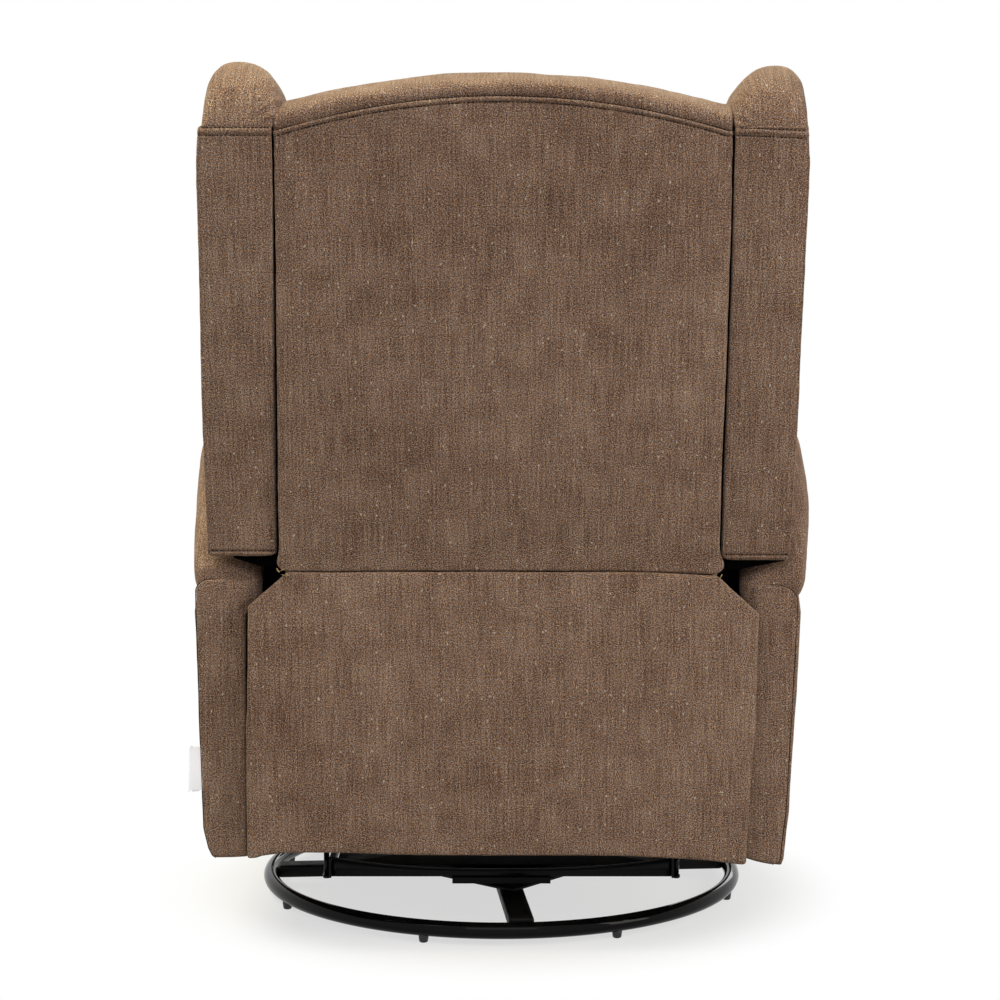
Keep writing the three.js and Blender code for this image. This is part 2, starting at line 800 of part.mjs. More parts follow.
// The arch-topped outline of the outer back
function backOutline() {
  const corner = wingSoft;
  const outline = new THREE.Shape();
  outline.moveTo(-backHalf + corner, 0);
  outline.lineTo(backHalf - corner, 0);
  outline.absarc(backHalf - corner, corner, corner, -Math.PI / 2, 0, false);
  outline.lineTo(backHalf, backSeamEnd);
  outline.quadraticCurveTo(0, backSeamEnd + backSeamRise * 2, -backHalf, backSeamEnd);
  outline.lineTo(-backHalf, corner);
  outline.absarc(-backHalf + corner, corner, corner, Math.PI, Math.PI * 3 / 2, false);
  outline.closePath();
  return outline;
}

// The padded roll along the top of the back, over the seam of the outer panel
function makeTopRoll() {
  const stations = 16;
  const around = 16;
  const rings = [];
  const crestAt = (share) => rollCrestEnd + rollCrestRise * (1 - share ** 2);
  for (let station = 1; station < stations; station += 1) {
    const share = -Math.cos(Math.PI * station / stations);
    const swell = (1 - Math.abs(share) ** 8) ** (1 / 4);
    const centreZ = crestAt(share) - rollHeight / 2;
    const rest = backSeamEnd + backSeamRise * (1 - share ** 2) + seatGap;
    const ring = [];
    for (let k = 0; k < around; k += 1) {
      const turn = Math.PI * 2 * k / around;
      ring.push([
        backHalf * share,
        -rollDepth / 2 + rollDepth / 2 * swell * signedPower(Math.cos(turn), 2 / 3),
        Math.max(rest, centreZ + rollHeight / 2 * swell * signedPower(Math.sin(turn), 2 / 3)),
      ]);
    }
    rings.push(ring);
  }
  const endZ = crestAt(1) - rollHeight / 4;
  return loft(rings, [-backHalf, -rollDepth / 2, endZ], [backHalf, -rollDepth / 2, endZ]);
}

// A back bracket: a bent strip that carries the post, with the recline pin
function makeBackBracket(side) {
  const knee = [bracketY, hingeZ + bracketKneeRise];
  const shoulder = [bracketY, backFootZ + postFoot * 2];
  const postY = backFootY - backPanelThickness - postDepth / 2;
  const headY = postY + Math.sin(backLean) * bracketLap;
  const head = [headY, backFootZ + Math.cos(backLean) * bracketLap];
  const points = [hinge, knee, shoulder, head];
  const strips = points.slice(1).map((point, k) => plate(
    bar(points[k], point, k === 0 ? hingeBoss : footLinkHalfWidth), side, lowerLinkLane, sheet,
  ));
  const pin = pinAcross(hinge, pivotPin, side, plateLane - pinPlay, lowerLinkLane + sheet / 2);
  return join(...strips, pin);
}

// Backrest: brackets, leaning frame, outer panel, roll, cushions and wings
function makeBackrest() {
  const backrest = new THREE.Group();
  for (const [word, side] of sides) {
    addPart(backrest, `back_bracket_${word}`, makeBackBracket(side), darkSteel());
  }
  const leaning = new THREE.Group();
  leaning.position.set(0, backFootY, backFootZ);
  leaning.rotation.x = -backLean;
  backrest.add(leaning);

  addPart(leaning, 'back_outer_panel', panel(backOutline(), 0, backPanelThickness), chenille());
  const frameRear = -backPanelThickness - seatGap;
  const frameFront = frameRear - postDepth;
  for (const [word, side] of sides) {
    const edges = [side * postInner, side * (postInner + postWidth)];
    const post = block(
      [Math.min(...edges), frameFront, postFoot], [Math.max(...edges), frameRear, postTop],
    );
    addPart(leaning, `back_post_${word}`, post, frameWood());
  }
  const railHalf = lowerLinkLane - seatGap;
  const upperRailLow = postTop - backRailHeight;
  for (const [word, low] of [['top', upperRailLow], ['bottom', backRailHeight / 2]]) {
    const rail = block([-railHalf, frameFront, low], [railHalf, frameRear, low + backRailHeight]);
    addPart(leaning, `back_rail_${word}`, rail, frameWood());
  }
  addPart(leaning, 'back_top_roll', makeTopRoll(), warmChenille());

  const cushions = [
    ['upper_back_cushion', upperCushionHalf, upperCushionLow, upperCushionTop, upperCushionDepth],
    ['lumbar_cushion', lumbarHalf, lumbarLow, lumbarTop, lumbarDepth],
  ];
  for (const [name, half, low, top, depth] of cushions) {
    const body = cushion([-half, low, 0], [half, top, depth], 2 / 7, 1 / 2);
    const mesh = addPart(leaning, name, body, warmChenille());
    mesh.rotation.x = Math.PI / 2;
    mesh.position.y = frameFront - seatGap;
  }
  for (const [word, side] of sides) {
    const wing = softPlate(wingOutline(), side, wingInner, wingThickness, wingSoft);
    addPart(backrest, `wing_${word}`, wing, chenille());
  }
  return backrest;
}

const chair = new THREE.Group();
chair.add(
  makeBase(),
  makeTurntable(),
  makeGlideLinks(),
  makeSeat(),
  makeLowerLinks(),
  makeUpperLinks(),
  makeFootrest(),
  makeBackrest(),
);
addPart(chair, 'release_lever', makeLever(), blackPlastic());

export default chair;
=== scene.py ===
import math
import bpy
import bmesh
import numpy as np
from mathutils import Matrix, Vector, noise
from mathutils.bvhtree import BVHTree


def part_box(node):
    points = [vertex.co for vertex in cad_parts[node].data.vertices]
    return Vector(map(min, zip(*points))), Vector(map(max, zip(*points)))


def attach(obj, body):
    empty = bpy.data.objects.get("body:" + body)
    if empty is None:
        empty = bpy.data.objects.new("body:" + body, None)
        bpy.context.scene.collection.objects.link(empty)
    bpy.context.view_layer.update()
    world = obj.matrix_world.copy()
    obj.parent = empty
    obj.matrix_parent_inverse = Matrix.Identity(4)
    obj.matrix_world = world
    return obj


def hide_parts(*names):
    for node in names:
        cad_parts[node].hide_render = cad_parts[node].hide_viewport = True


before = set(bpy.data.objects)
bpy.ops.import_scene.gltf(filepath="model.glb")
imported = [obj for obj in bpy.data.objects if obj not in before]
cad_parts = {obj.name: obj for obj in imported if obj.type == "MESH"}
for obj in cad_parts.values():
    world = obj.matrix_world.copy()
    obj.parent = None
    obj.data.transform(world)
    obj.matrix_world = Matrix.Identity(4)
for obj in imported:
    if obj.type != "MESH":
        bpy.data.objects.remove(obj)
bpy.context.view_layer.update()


# ---------------------------------------------------------------- camera, floor and light
# The place the chair stands in: a white floor that runs into a white ground, one big
# soft light overhead, a low one from the right, and weaker ones at the camera, from the
# left and in front.
scene = bpy.context.scene
scene.view_settings.view_transform = "Standard"
camera_data = bpy.data.cameras.new("camera")
camera_data.lens = 75.7
camera_data.sensor_width = 36
camera = bpy.data.objects.new("camera", camera_data)
scene.collection.objects.link(camera)
camera_place, camera_tip = (0.0018, 2.81, 0.715), math.radians(86)
camera.location = camera_place
camera.rotation_euler = (camera_tip, 0, math.pi)
scene.camera = camera


def paint(red, green, blue):
    """A colour as it looks on screen, turned to the linear one that a socket takes"""
    return tuple((c / 255 / 12.92 if c <= 10 else ((c / 255 + 0.055) / 1.055) ** 2.4)
                 for c in (red, green, blue)) + (1,)


def feed(tree, socket, value):
    """A socket takes another node's output or a plain value"""
    if isinstance(value, bpy.types.NodeSocket):
        tree.links.new(value, socket)
    else:
        socket.default_value = value


def new_node(tree, kind, inputs={}, **settings):
    """A node with its settings, and with its inputs linked or set"""
    node = tree.nodes.new("ShaderNode" + kind)
    for key, value in settings.items():
        setattr(node, key, value)
    for key, value in inputs.items():
        feed(tree, node.inputs[key], value)
    return node


def maths(tree, operation, *values, clamp=False):
    return new_node(tree, "Math", dict(enumerate(values)), operation=operation,
                    use_clamp=clamp).outputs[0]


def blend_colour(tree, share, first, second, kind="MIX"):
    return new_node(tree, "Mix", {0: share, 6: first, 7: second}, data_type="RGBA",
                    blend_type=kind).outputs[2]


def step(tree, value, low, high, start=0.0):
    return new_node(tree, "MapRange", {
        "Value": value, "From Min": low, "From Max": high, "To Min": start},
        interpolation_type="SMOOTHSTEP").outputs["Result"]


def showing(tree):
    """1 for the rays that show the ground: straight, mirrored or through glass"""
    rays = new_node(tree, "LightPath").outputs
    seen = maths(tree, "ADD", rays["Is Camera Ray"], rays["Is Glossy Ray"])
    return maths(tree, "ADD", seen, rays["Is Transmission Ray"], clamp=True)


# The ground is white to the camera and in reflections, and lights the chair more weakly
fill_strength, shown_strength = 0.42, 1
studio = bpy.data.worlds.new("studio")
studio.use_nodes = True
scene.world = studio
tree = studio.node_tree
tree.nodes.clear()
lit, shown = (new_node(tree, "Background", {"Strength": strength, "Color": (1, 1, 1, 1)})
              for strength in (fill_strength, shown_strength))
mix = new_node(tree, "MixShader", {0: showing(tree), 1: lit.outputs[0], 2: shown.outputs[0]})
new_node(tree, "OutputWorld", {"Surface": mix.outputs[0]})


def soft_light(name, place, aim, width, height, power, colour=(1, 1, 1)):
    data = bpy.data.lights.new(name, "AREA")
    data.shape = "RECTANGLE"
    data.size, data.size_y = width, height
    data.energy, data.color = power, colour
    lamp = bpy.data.objects.new(name, data)
    scene.collection.objects.link(lamp)
    lamp.location = place
    lamp.rotation_euler = (Vector(aim) - Vector(place)).to_track_quat("-Z", "Y").to_euler()


soft_light("overhead_light", (1.20, 0.20, 2.8), (0, 0, 0.5), 2.0, 2.2, 58, (1, 0.955, 0.64))
soft_light("camera_light", (0.0, 2.8, 2.3), (0, 0, 0.95), 1.8, 1.4, 12.6, (0.98, 0.98, 1.08))
soft_light("left_light", (1.6, 1.4, 3.0), (0.3, 0.3, 1.0), 1.2, 1.2, 13, (1, 0.97, 0.86))
soft_light("right_light", (-2.9, 1.7, 1.4), (0, 0, 0.65), 1.2, 2.0, 42, (1, 0.95, 0.84))
soft_light("front_light", (-0.8, -3.6, 1.9), (0, 0, 0.5), 2.2, 1.8, 34)

floor_mesh = bpy.data.meshes.new("floor")
floor_reach, floor_near, floor_far = 9, 0.33, 0.47
floor_lit, floor_shown, glow_near = 0.27, 0.92, 0.64
floor_mesh.from_pydata([(x * floor_reach, y * floor_reach, 0) for x, y in
                        ((-1, -1), (1, -1), (1, 1), (-1, 1))], [], [(0, 1, 2, 3)])
floor = bpy.data.objects.new("floor", floor_mesh)
scene.collection.objects.link(floor)
floor_paint = bpy.data.materials.new("white_floor")
floor_paint.use_nodes = True
tree = floor_paint.node_tree
tree.nodes.clear()
place = new_node(tree, "TexCoord").outputs["Object"]
reach = new_node(tree, "VectorMath", {0: place}, operation="LENGTH").outputs["Value"]
seen = showing(tree)
pale = blend_colour(tree, seen, (floor_lit,) * 3 + (1,), (floor_shown,) * 3 + (1,))
matt = new_node(tree, "BsdfDiffuse", {"Color": pale}).outputs[0]
glow = new_node(tree, "Emission", {"Strength": 1}).outputs[0]
share = maths(tree, "MULTIPLY", step(tree, reach, floor_near, floor_far, glow_near), seen)
mix = new_node(tree, "MixShader", {0: share, 1: matt, 2: glow})
new_node(tree, "OutputMaterial", {"Surface": mix.outputs[0]})
floor_mesh.materials.append(floor_paint)


# ---------------------------------------------------------------- base on the floor
# A bent steel tube ring on black plastic glides, with a flat cross welded into it and
# a square hub plate over the middle. The ring is gloss black, the flat parts are satin.
def new_group(name, inputs, outputs):
    """A shader group with named sockets, returned with those it takes in and gives out"""
    tree = bpy.data.node_groups.new(name, "ShaderNodeTree")
    for label, kind, value in inputs:
        socket = tree.interface.new_socket(label, in_out="INPUT", socket_type=kind)
        socket.default_value = value
    for label, kind in outputs:
        tree.interface.new_socket(label, in_out="OUTPUT", socket_type=kind)
    into, out = tree.nodes.new("NodeGroupInput"), tree.nodes.new("NodeGroupOutput")
    return tree, into.outputs, out.inputs


def speckle(tree, coordinates, dimensions="3D", **inputs):
    """Soft noise from 0 to 1"""
    return new_node(tree, "TexNoise", {"Vector": coordinates, **inputs},
                    noise_dimensions=dimensions).outputs["Fac"]


def stretch(tree, coordinates, scale, shift=(0, 0, 0)):
    return new_node(tree, "Mapping", {"Vector": coordinates, "Scale": scale,
                                      "Location": shift}).outputs[0]


def blend_value(tree, share, first, second):
    return new_node(tree, "Mix", {0: share, 2: first, 3: second}).outputs[0]


metal_sockets = [("Color", "NodeSocketColor"), ("Roughness", "NodeSocketFloat"),
                 ("Height", "NodeSocketFloat")]


def make_coat_group():
    """Sprayed or rolled metal surface: fine pebbling, rubbed patches, dust on top faces"""
    tree, into, out = new_group("coated_metal", [
        ("Coat", "NodeSocketColor", (0.01, 0.01, 0.01, 1)),
        ("Worn", "NodeSocketColor", (0.05, 0.05, 0.05, 1)),
        ("Dust", "NodeSocketFloat", 0.2),
        ("Smooth", "NodeSocketFloat", 0.2),
        ("Rough", "NodeSocketFloat", 0.4),
        ("Grain", "NodeSocketFloat", 900.0),
    ], metal_sockets)
    place = new_node(tree, "TexCoord").outputs["Object"]
    pebble = speckle(tree, place, Scale=into["Grain"], Detail=2)
    patch = speckle(tree, place, Scale=38, Detail=5, Roughness=0.65)
    scratch = speckle(tree, stretch(tree, place, (40, 900, 900)), Scale=1, Detail=3)
    rubbed = maths(tree, "MULTIPLY", step(tree, patch, 0.56, 0.72),
                   step(tree, scratch, 0.5, 0.62))
    face = new_node(tree, "NewGeometry").outputs["Normal"]
    upward = new_node(tree, "SeparateXYZ", {0: face}).outputs["Z"]
    settled = maths(tree, "MULTIPLY", step(tree, upward, 0.4, 1.0), step(tree, patch, 0.32, 0.62))
    settled = maths(tree, "MULTIPLY", settled, into["Dust"])
    colour = blend_colour(tree, rubbed, into["Coat"], into["Worn"])
    feed(tree, out["Color"], blend_colour(tree, settled, colour, paint(150, 144, 134)))
    base = blend_value(tree, step(tree, patch, 0.35, 0.7), into["Smooth"], into["Rough"])
    tree.links.new(maths(tree, "ADD", base, maths(tree, "MULTIPLY", settled, 0.5), clamp=True),
                   out["Roughness"])
    tree.links.new(maths(tree, "SUBTRACT", pebble, maths(tree, "MULTIPLY", rubbed, 0.6)),
                   out["Height"])
    return tree


coat_group = make_coat_group()


def finished(name, group, values, bump, shader_values):
    """A material whose colour, roughness and relief come from a group"""
    material = bpy.data.materials.new(name)
    material.use_nodes = True
    tree = material.node_tree
    shader = tree.nodes["Principled BSDF"]
    use = new_node(tree, "Group", node_tree=group)
    for key, value in values.items():
        use.inputs[key].default_value = value
    relief = new_node(tree, "Bump", {"Strength": bump[0], "Distance": bump[1],
                                     "Height": use.outputs["Height"]})
    for key, value in shader_values.items():
        shader.inputs[key].default_value = value
    tree.links.new(use.outputs["Color"], shader.inputs["Base Color"])
    if "Roughness" in use.outputs:
        tree.links.new(use.outputs["Roughness"], shader.inputs["Roughness"])
    tree.links.new(relief.outputs["Normal"], shader.inputs["Normal"])
    return material


def coated(name, coat, worn, dust, smooth, rough, grain, bump, shader_values):
    return finished(name, coat_group, {
        "Coat": paint(*coat), "Worn": paint(*worn), "Dust": dust, "Smooth": smooth,
        "Rough": rough, "Grain": grain}, bump, shader_values)


gloss_black = coated("gloss_black_coat", (5, 5, 6), (20, 20, 21), 0.02, 0.04, 0.10, 500.0,
                     (0.08, 0.0003), {"Specular IOR Level": 0.10})
satin_black = coated("satin_black_coat", (9, 9, 10), (28, 27, 27), 0.04, 0.38, 0.52, 700.0,
                     (0.15, 0.0003), {"Specular IOR Level": 0.12})
black_plastic = coated("moulded_black_plastic", (22, 22, 23), (60, 60, 60), 0.12, 0.42, 0.55,
                       2600.0, (0.3, 0.0002), {"Specular IOR Level": 0.5})
zinc_plate = coated("zinc_plated_steel", (176, 178, 180), (120, 119, 116), 0.12, 0.28, 0.46,
                    1500.0, (0.2, 0.0002), {"Metallic": 1.0})
dark_steel = coated("rolled_dark_steel", (46, 46, 48), (120, 118, 114), 0.18, 0.32, 0.5,
                    1200.0, (0.25, 0.0002), {"Metallic": 0.85})


def dress(name, material):
    """A node of the frame that stays gets its finish in its own slots"""
    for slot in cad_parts[name].material_slots:
        slot.material = material


def mesh_piece(name, points, faces, material, slot, body=None):
    """A new piece from points and faces, smooth shaded, with outward faces"""
    mesh = bpy.data.meshes.new(name)
    mesh.from_pydata([tuple(p) for p in points], [], [tuple(f) for f in faces])
    work = bmesh.new()
    work.from_mesh(mesh)
    bmesh.ops.recalc_face_normals(work, faces=work.faces)
    work.to_mesh(mesh)
    work.free()
    mesh.shade_smooth()
    mesh.materials.append(material)
    piece = bpy.data.objects.new(name, mesh)
    scene.collection.objects.link(piece)
    if body:
        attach(piece, body)
    return piece


def lofted(rings, closed=False):
    """Points and faces of a skin through rings of equal count: closed in a loop, or with
    a fan on each end"""
    rings = [list(map(tuple, ring)) for ring in rings]
    count = len(rings[0])
    points = [p for ring in rings for p in ring]
    faces = []
    for r in range(len(rings) if closed else len(rings) - 1):
        here, there = r * count, (r + 1) % len(rings) * count
        for k in range(count):
            nxt = (k + 1) % count
            faces.append((here + k, here + nxt, there + nxt, there + k))
    if not closed:
        last = (len(rings) - 1) * count
        for ring, start, flip in ((rings[0], 0, True), (rings[-1], last, False)):
            centre = tuple(sum(p[i] for p in ring) / count for i in range(3))
            points.append(centre)
            tip = len(points) - 1
            for k in range(count):
                pair = (start + k, start + (k + 1) % count)
                faces.append((tip, *(pair[::-1] if flip else pair)))
    return points, faces


def joined(*skins):
    """Several closed skins as one"""
    points, faces = [], []
    for some_points, some_faces in skins:
        shift = len(points)
        points += list(some_points)
        faces += [tuple(i + shift for i in face) for face in some_faces]
    return points, faces


def path_frames(path, closed):
    """A side and an upright direction at each point of a path, without twist"""
    path = [Vector(p) for p in path]
    count = len(path)
    tangents = []
    for k in range(count):
        a = path[(k - 1) % count if closed else max(k - 1, 0)]
        b = path[(k + 1) % count if closed else min(k + 1, count - 1)]
        tangents.append((b - a).normalized())
    start = Vector((0, 0, 1)) if abs(tangents[0].z) < 0.9 else Vector((1, 0, 0))
    up = (start - tangents[0] * start.dot(tangents[0])).normalized()
    frames = []
    for tangent in tangents:
        up = (up - tangent * up.dot(tangent)).normalized()
        frames.append((tangent.cross(up), up))
    return path, frames


def around(sides):
    """The directions round a circle, as cosine and sine"""
    return [(math.cos(math.tau * j / sides), math.sin(math.tau * j / sides))
            for j in range(sides)]


def tube(path, radius, sides=10, closed=False):
    """A round rod along a path; the radius may differ from point to point"""
    path, frames = path_frames(path, closed)
    rings = []
    for k, (point, (side, up)) in enumerate(zip(path, frames)):
        size = radius[k] if hasattr(radius, "__len__") else radius
        rings.append([point + (side * c + up * s) * size for c, s in around(sides)])
    return lofted(rings, closed)


def rounded_block(low, high, soft, steps=3):
    """A bar with its edges rounded, as a stack of rounded rectangles"""
    rings = []
    levels = [(math.pi / 2) * k / steps for k in range(steps + 1)]
    heights = [(low[2] + soft - soft * math.cos(t), soft * (1 - math.sin(t))) for t in levels]
    heights += [(high[2] - (z - low[2]), inset) for z, inset in heights[::-1]]
    for z, inset in heights:
        ring = rounded_rectangle(low[0] + inset, high[0] - inset, low[1] + inset, high[1] - inset,
                                 [max(soft - inset, 0.0002)] * 4, (1, 1, 1, 1), steps)
        rings.append([(x, y, z) for x, y in ring])
    return lofted(rings)


def rounded_rectangle(x0, x1, y0, y1, radii, between, arc=5):
    """Clockwise points of a rounded rectangle, from its high-y edge; radii and the points
    between the corners are given in that order"""
    corners = ((x1, y1, -1, -1, 90), (x1, y0, -1, 1, 0), (x0, y0, 1, 1, -90), (x0, y1, 1, -1, 180))
    arcs = []
    for (cx, cy, sx, sy, angle), radius in zip(corners, radii):
        radius = min(radius, abs(x1 - x0) / 2, abs(y1 - y0) / 2)
        arcs.append([(cx + sx * radius + radius * math.cos(math.radians(angle - 90 * k / arc)),
                      cy + sy * radius + radius * math.sin(math.radians(angle - 90 * k / arc)))
                     for k in range(arc + 1)])
    ring = []
    for k in range(4):
        start, end = arcs[k - 1][-1], arcs[k][0]
        count = between[k]
        for j in range(1, count + 1):
            share = j / (count + 1)
            ring.append((start[0] + (end[0] - start[0]) * share,
                         start[1] + (end[1] - start[1]) * share))
        ring += arcs[k]
    return ring


base_turn = math.radians(4.7)
ring_radius, ring_tube, ring_height = 0.310, 0.010, 0.018
ring_path = [(ring_radius * c, ring_radius * s, ring_height) for c, s in around(160)]
ring = mesh_piece("floor_ring_tube", *tube(ring_path, ring_tube, 24, True), gloss_black,
                  "black_steel", "base")
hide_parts("base_ring")


def flat_steel(name, blocks, angle, node):
    """Flat steel parts of the base, turned about the swivel's axis"""
    c, s = math.cos(angle), math.sin(angle)
    points, faces = joined(*blocks)
    points = [(x * c - y * s, x * s + y * c, z) for x, y, z in points]
    piece = mesh_piece(name, points, faces, satin_black, "black_steel", "base")
    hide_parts(node)


# The cross: two flat bars with rolled edges, lapped at the middle, and the plate over it
reach, half, low, high, bar_edge, lap = 0.3005, 0.0155, 0.0145, 0.0310, 0.0035, 0.0002
flat_steel("base_cross_bars", [
    rounded_block((-reach, -half, low), (reach, half, high - lap), bar_edge),
    rounded_block((-half, -reach, low + lap), (half, reach, high), bar_edge),
], base_turn, "base_cross")
hub_half, hub_low, hub_high, hub_edge = 0.1268, 0.0313, 0.0353, 0.0012
flat_steel("hub_square_plate", [rounded_block((-hub_half, -hub_half, hub_low),
                                              (hub_half, hub_half, hub_high), hub_edge)],
           base_turn + math.pi / 4, "hub_plate")

# The floor glides: moulded feet pressed on under the ring, each a radius by height
glide_count = 8
glide_profile = [(0.0034, 0.0), (0.0048, 0.0006), (0.0055, 0.0020), (0.0060, 0.0062),
                 (0.0064, 0.0092), (0.0062, 0.0105)]
for k in range(glide_count):
    turn = math.tau * (k + 0.5) / glide_count + base_turn
    x, y = ring_radius * math.cos(turn), ring_radius * math.sin(turn)
    rings = [[(x + r * c, y + r * s, z) for c, s in around(24)] for r, z in glide_profile]
    glide = mesh_piece(f"floor_glide_{k + 1}", *lofted(rings), black_plastic,
                       "black_plastic", "base")
    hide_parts(f"ring_glide_{k + 1}")

dress("swivel_stud", zinc_plate)
dress("swivel_race_lower", zinc_plate)


# ---------------------------------------------------------------- turntable and glider frame
# Pressed steel: a plate on the bearing, a crossmember with a rolled lip at each end, and
# a hanger bracket at each side. Bolts through the corners hold it together.
dress("swivel_race_upper", zinc_plate)
dress("turntable_plate", satin_black)
cross_half, cross_low, cross_end, cross_mid = 0.2140, 0.0550, 0.0270, 0.0120


def flange_height(x):
    share = min(abs(x) / cross_half, 1)
    return cross_mid + (cross_end - cross_mid) * share ** 2.6


def pressed_crossmember(name, side, node):
    """A channel: shelf, standing wall with a hollowed edge, and a lip rolled along it"""
    rings = []
    stations, wall, drawn_in = 64, 0.003, 0.0042
    for k in range(stations + 1):
        x = -cross_half + 2 * cross_half * k / stations
        top = cross_low + flange_height(x)
        outer = [(0.154, cross_low), (0.196, cross_low), (0.1985, cross_low + 0.0006),
                 (0.1995, cross_low + 0.0026), (0.1997, top - 0.0030), (0.2004, top - 0.0012),
                 (0.2016, top - 0.0002), (0.2034, top + 0.0001), (0.2040, top - 0.0010),
                 (0.2012, top - 0.0028), (0.2000, top - 0.0024)]
        inner = [(0.1968, top - 0.0030), (0.1967, cross_low + wall), (0.154, cross_low + wall)]
        rings.append([(x, side * (y - drawn_in), z) for y, z in outer]
                     + [(x, side * y, z) for y, z in inner])
    piece = mesh_piece(name, *lofted(rings), satin_black, "black_steel", "turntable")
    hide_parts(node)


pressed_crossmember("rear_crossmember_channel", 1, "crossmember_rear")
pressed_crossmember("front_crossmember_channel", -1, "crossmember_front")
points, faces = rounded_block((-0.2120, -0.1530, 0.0600), (0.2120, 0.1530, 0.0614), 0.0005)
mesh_piece("crossmember_tray", points, faces, satin_black, "black_steel", "turntable")
# A thin paler rod along the rear crossmember's rolled lip: a painted highlight line
lip_highlight_paint = coated("painted_lip_highlight", (84, 78, 72), (128, 122, 112), 0.05, 0.25, 0.45,
                      900.0, (0.2, 0.0002), {"Specular IOR Level": 0.5})
lip_x = [-0.206 + 0.412 * k / 80 for k in range(81)]
path = [(x, 0.1988, cross_low + flange_height(x) - 0.0002) for x in lip_x]
mesh_piece("crossmember_lip_painted_highlight", *tube(path, 0.0006, 8), lip_highlight_paint, "black_steel",
           "turntable")


def bolt(x, y, low, high, radius):
    """A hexagon head bolt standing on its head"""
    levels = ((low, radius * 0.9), (low + 0.0006, radius), (low + 0.0045, radius))
    head = lofted([[(x + r * c, y + r * s, z) for c, s in around(6)] for z, r in levels])
    shank = tube([(x, y, low + 0.004), (x, y, high)], radius * 0.72, 12)
    return joined(head, shank)


bolt_x, bolt_y = 0.2211, 0.188
bolts = joined(*[bolt(sx * bolt_x, sy * bolt_y, 0.0525, 0.0850, 0.0050)
                 for sx in (-1, 1) for sy in (-1, 1)])
mesh_piece("crossmember_bolts", *bolts, gloss_black, "black_steel", "turntable")
for word in ("left", "right"):
    dress(f"hanger_bracket_{word}", satin_black)
    for part in ("glide_link_front", "glide_link_rear"):
        dress(f"{part}_{word}", zinc_plate)
    for part in ("mechanism_plate", "footrest_lower_link", "footrest_upper_link", "back_bracket"):
        dress(f"{part}_{word}", dark_steel)
dress("footrest_torsion_tube", dark_steel)


# ---------------------------------------------------------------- seat deck
# Two softwood rails screwed to the mechanism plates, with zigzag springs of hard drawn
# wire hooked between them.
def make_wood_group():
    tree, into, out = new_group("sawn_wood", [
        ("Light", "NodeSocketColor", (0.6, 0.45, 0.28, 1)),
        ("Dark", "NodeSocketColor", (0.4, 0.26, 0.13, 1)),
    ], metal_sockets)
    place = new_node(tree, "TexCoord").outputs["Object"]
    bend = speckle(tree, stretch(tree, place, (3, 26, 26)), Scale=1, Detail=3)
    fibre = speckle(tree, stretch(tree, place, (24, 700, 700)), Scale=1, Detail=4)
    rings = maths(tree, "FRACT", maths(tree, "MULTIPLY", bend, 9.0))
    late = step(tree, rings, 0.45, 0.95)
    colour = blend_colour(tree, late, into["Light"], into["Dark"])
    colour = blend_colour(tree, maths(tree, "MULTIPLY", fibre, 0.35), colour, into["Dark"])
    tree.links.new(colour, out["Color"])
    tree.links.new(blend_value(tree, fibre, 0.55, 0.8), out["Roughness"])
    tree.links.new(maths(tree, "ADD", fibre, maths(tree, "MULTIPLY", late, 0.5)), out["Height"])
    return tree


wood_group = make_wood_group()
softwood = finished("sawn_softwood", wood_group, {
    "Light": paint(206, 172, 124), "Dark": paint(160, 116, 70)}, (0.3, 0.0004), {})
for node in ("seat_rail_front", "seat_rail_rear", "back_post_left", "back_post_right",
             "back_rail_top", "back_rail_bottom", "footrest_board"):
    dress(node, softwood)


def seat_spring(name, x, node):
    """One zigzag spring: round wire bent back and forth between the rails"""
    low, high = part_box(node)
    waves, wide, wire, level, arch, square = 9, 0.0215, 0.0019, 0.376, 0.006, 2.2
    path = []
    for k in range(waves * 16 + 1):
        share = k / (waves * 16)
        hold = min(1, share * waves * 2, (1 - share) * waves * 2)
        swing = math.tanh(square * math.sin(share * waves * math.tau)) / math.tanh(square)
        y = low.y + 0.001 + (high.y - low.y - 0.002) * share
        path.append((x + wide * swing * hold, y, level + arch * math.sin(math.pi * share)))
    spring = mesh_piece(name, *tube(path, wire, 8), zinc_plate, "zinc_steel", "seat_base")
    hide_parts(node)


spring_pitch = 0.120
for k in range(3):
    seat_spring(f"zigzag_spring_{k + 1}", (k - 1) * spring_pitch, f"seat_spring_{k + 1}")


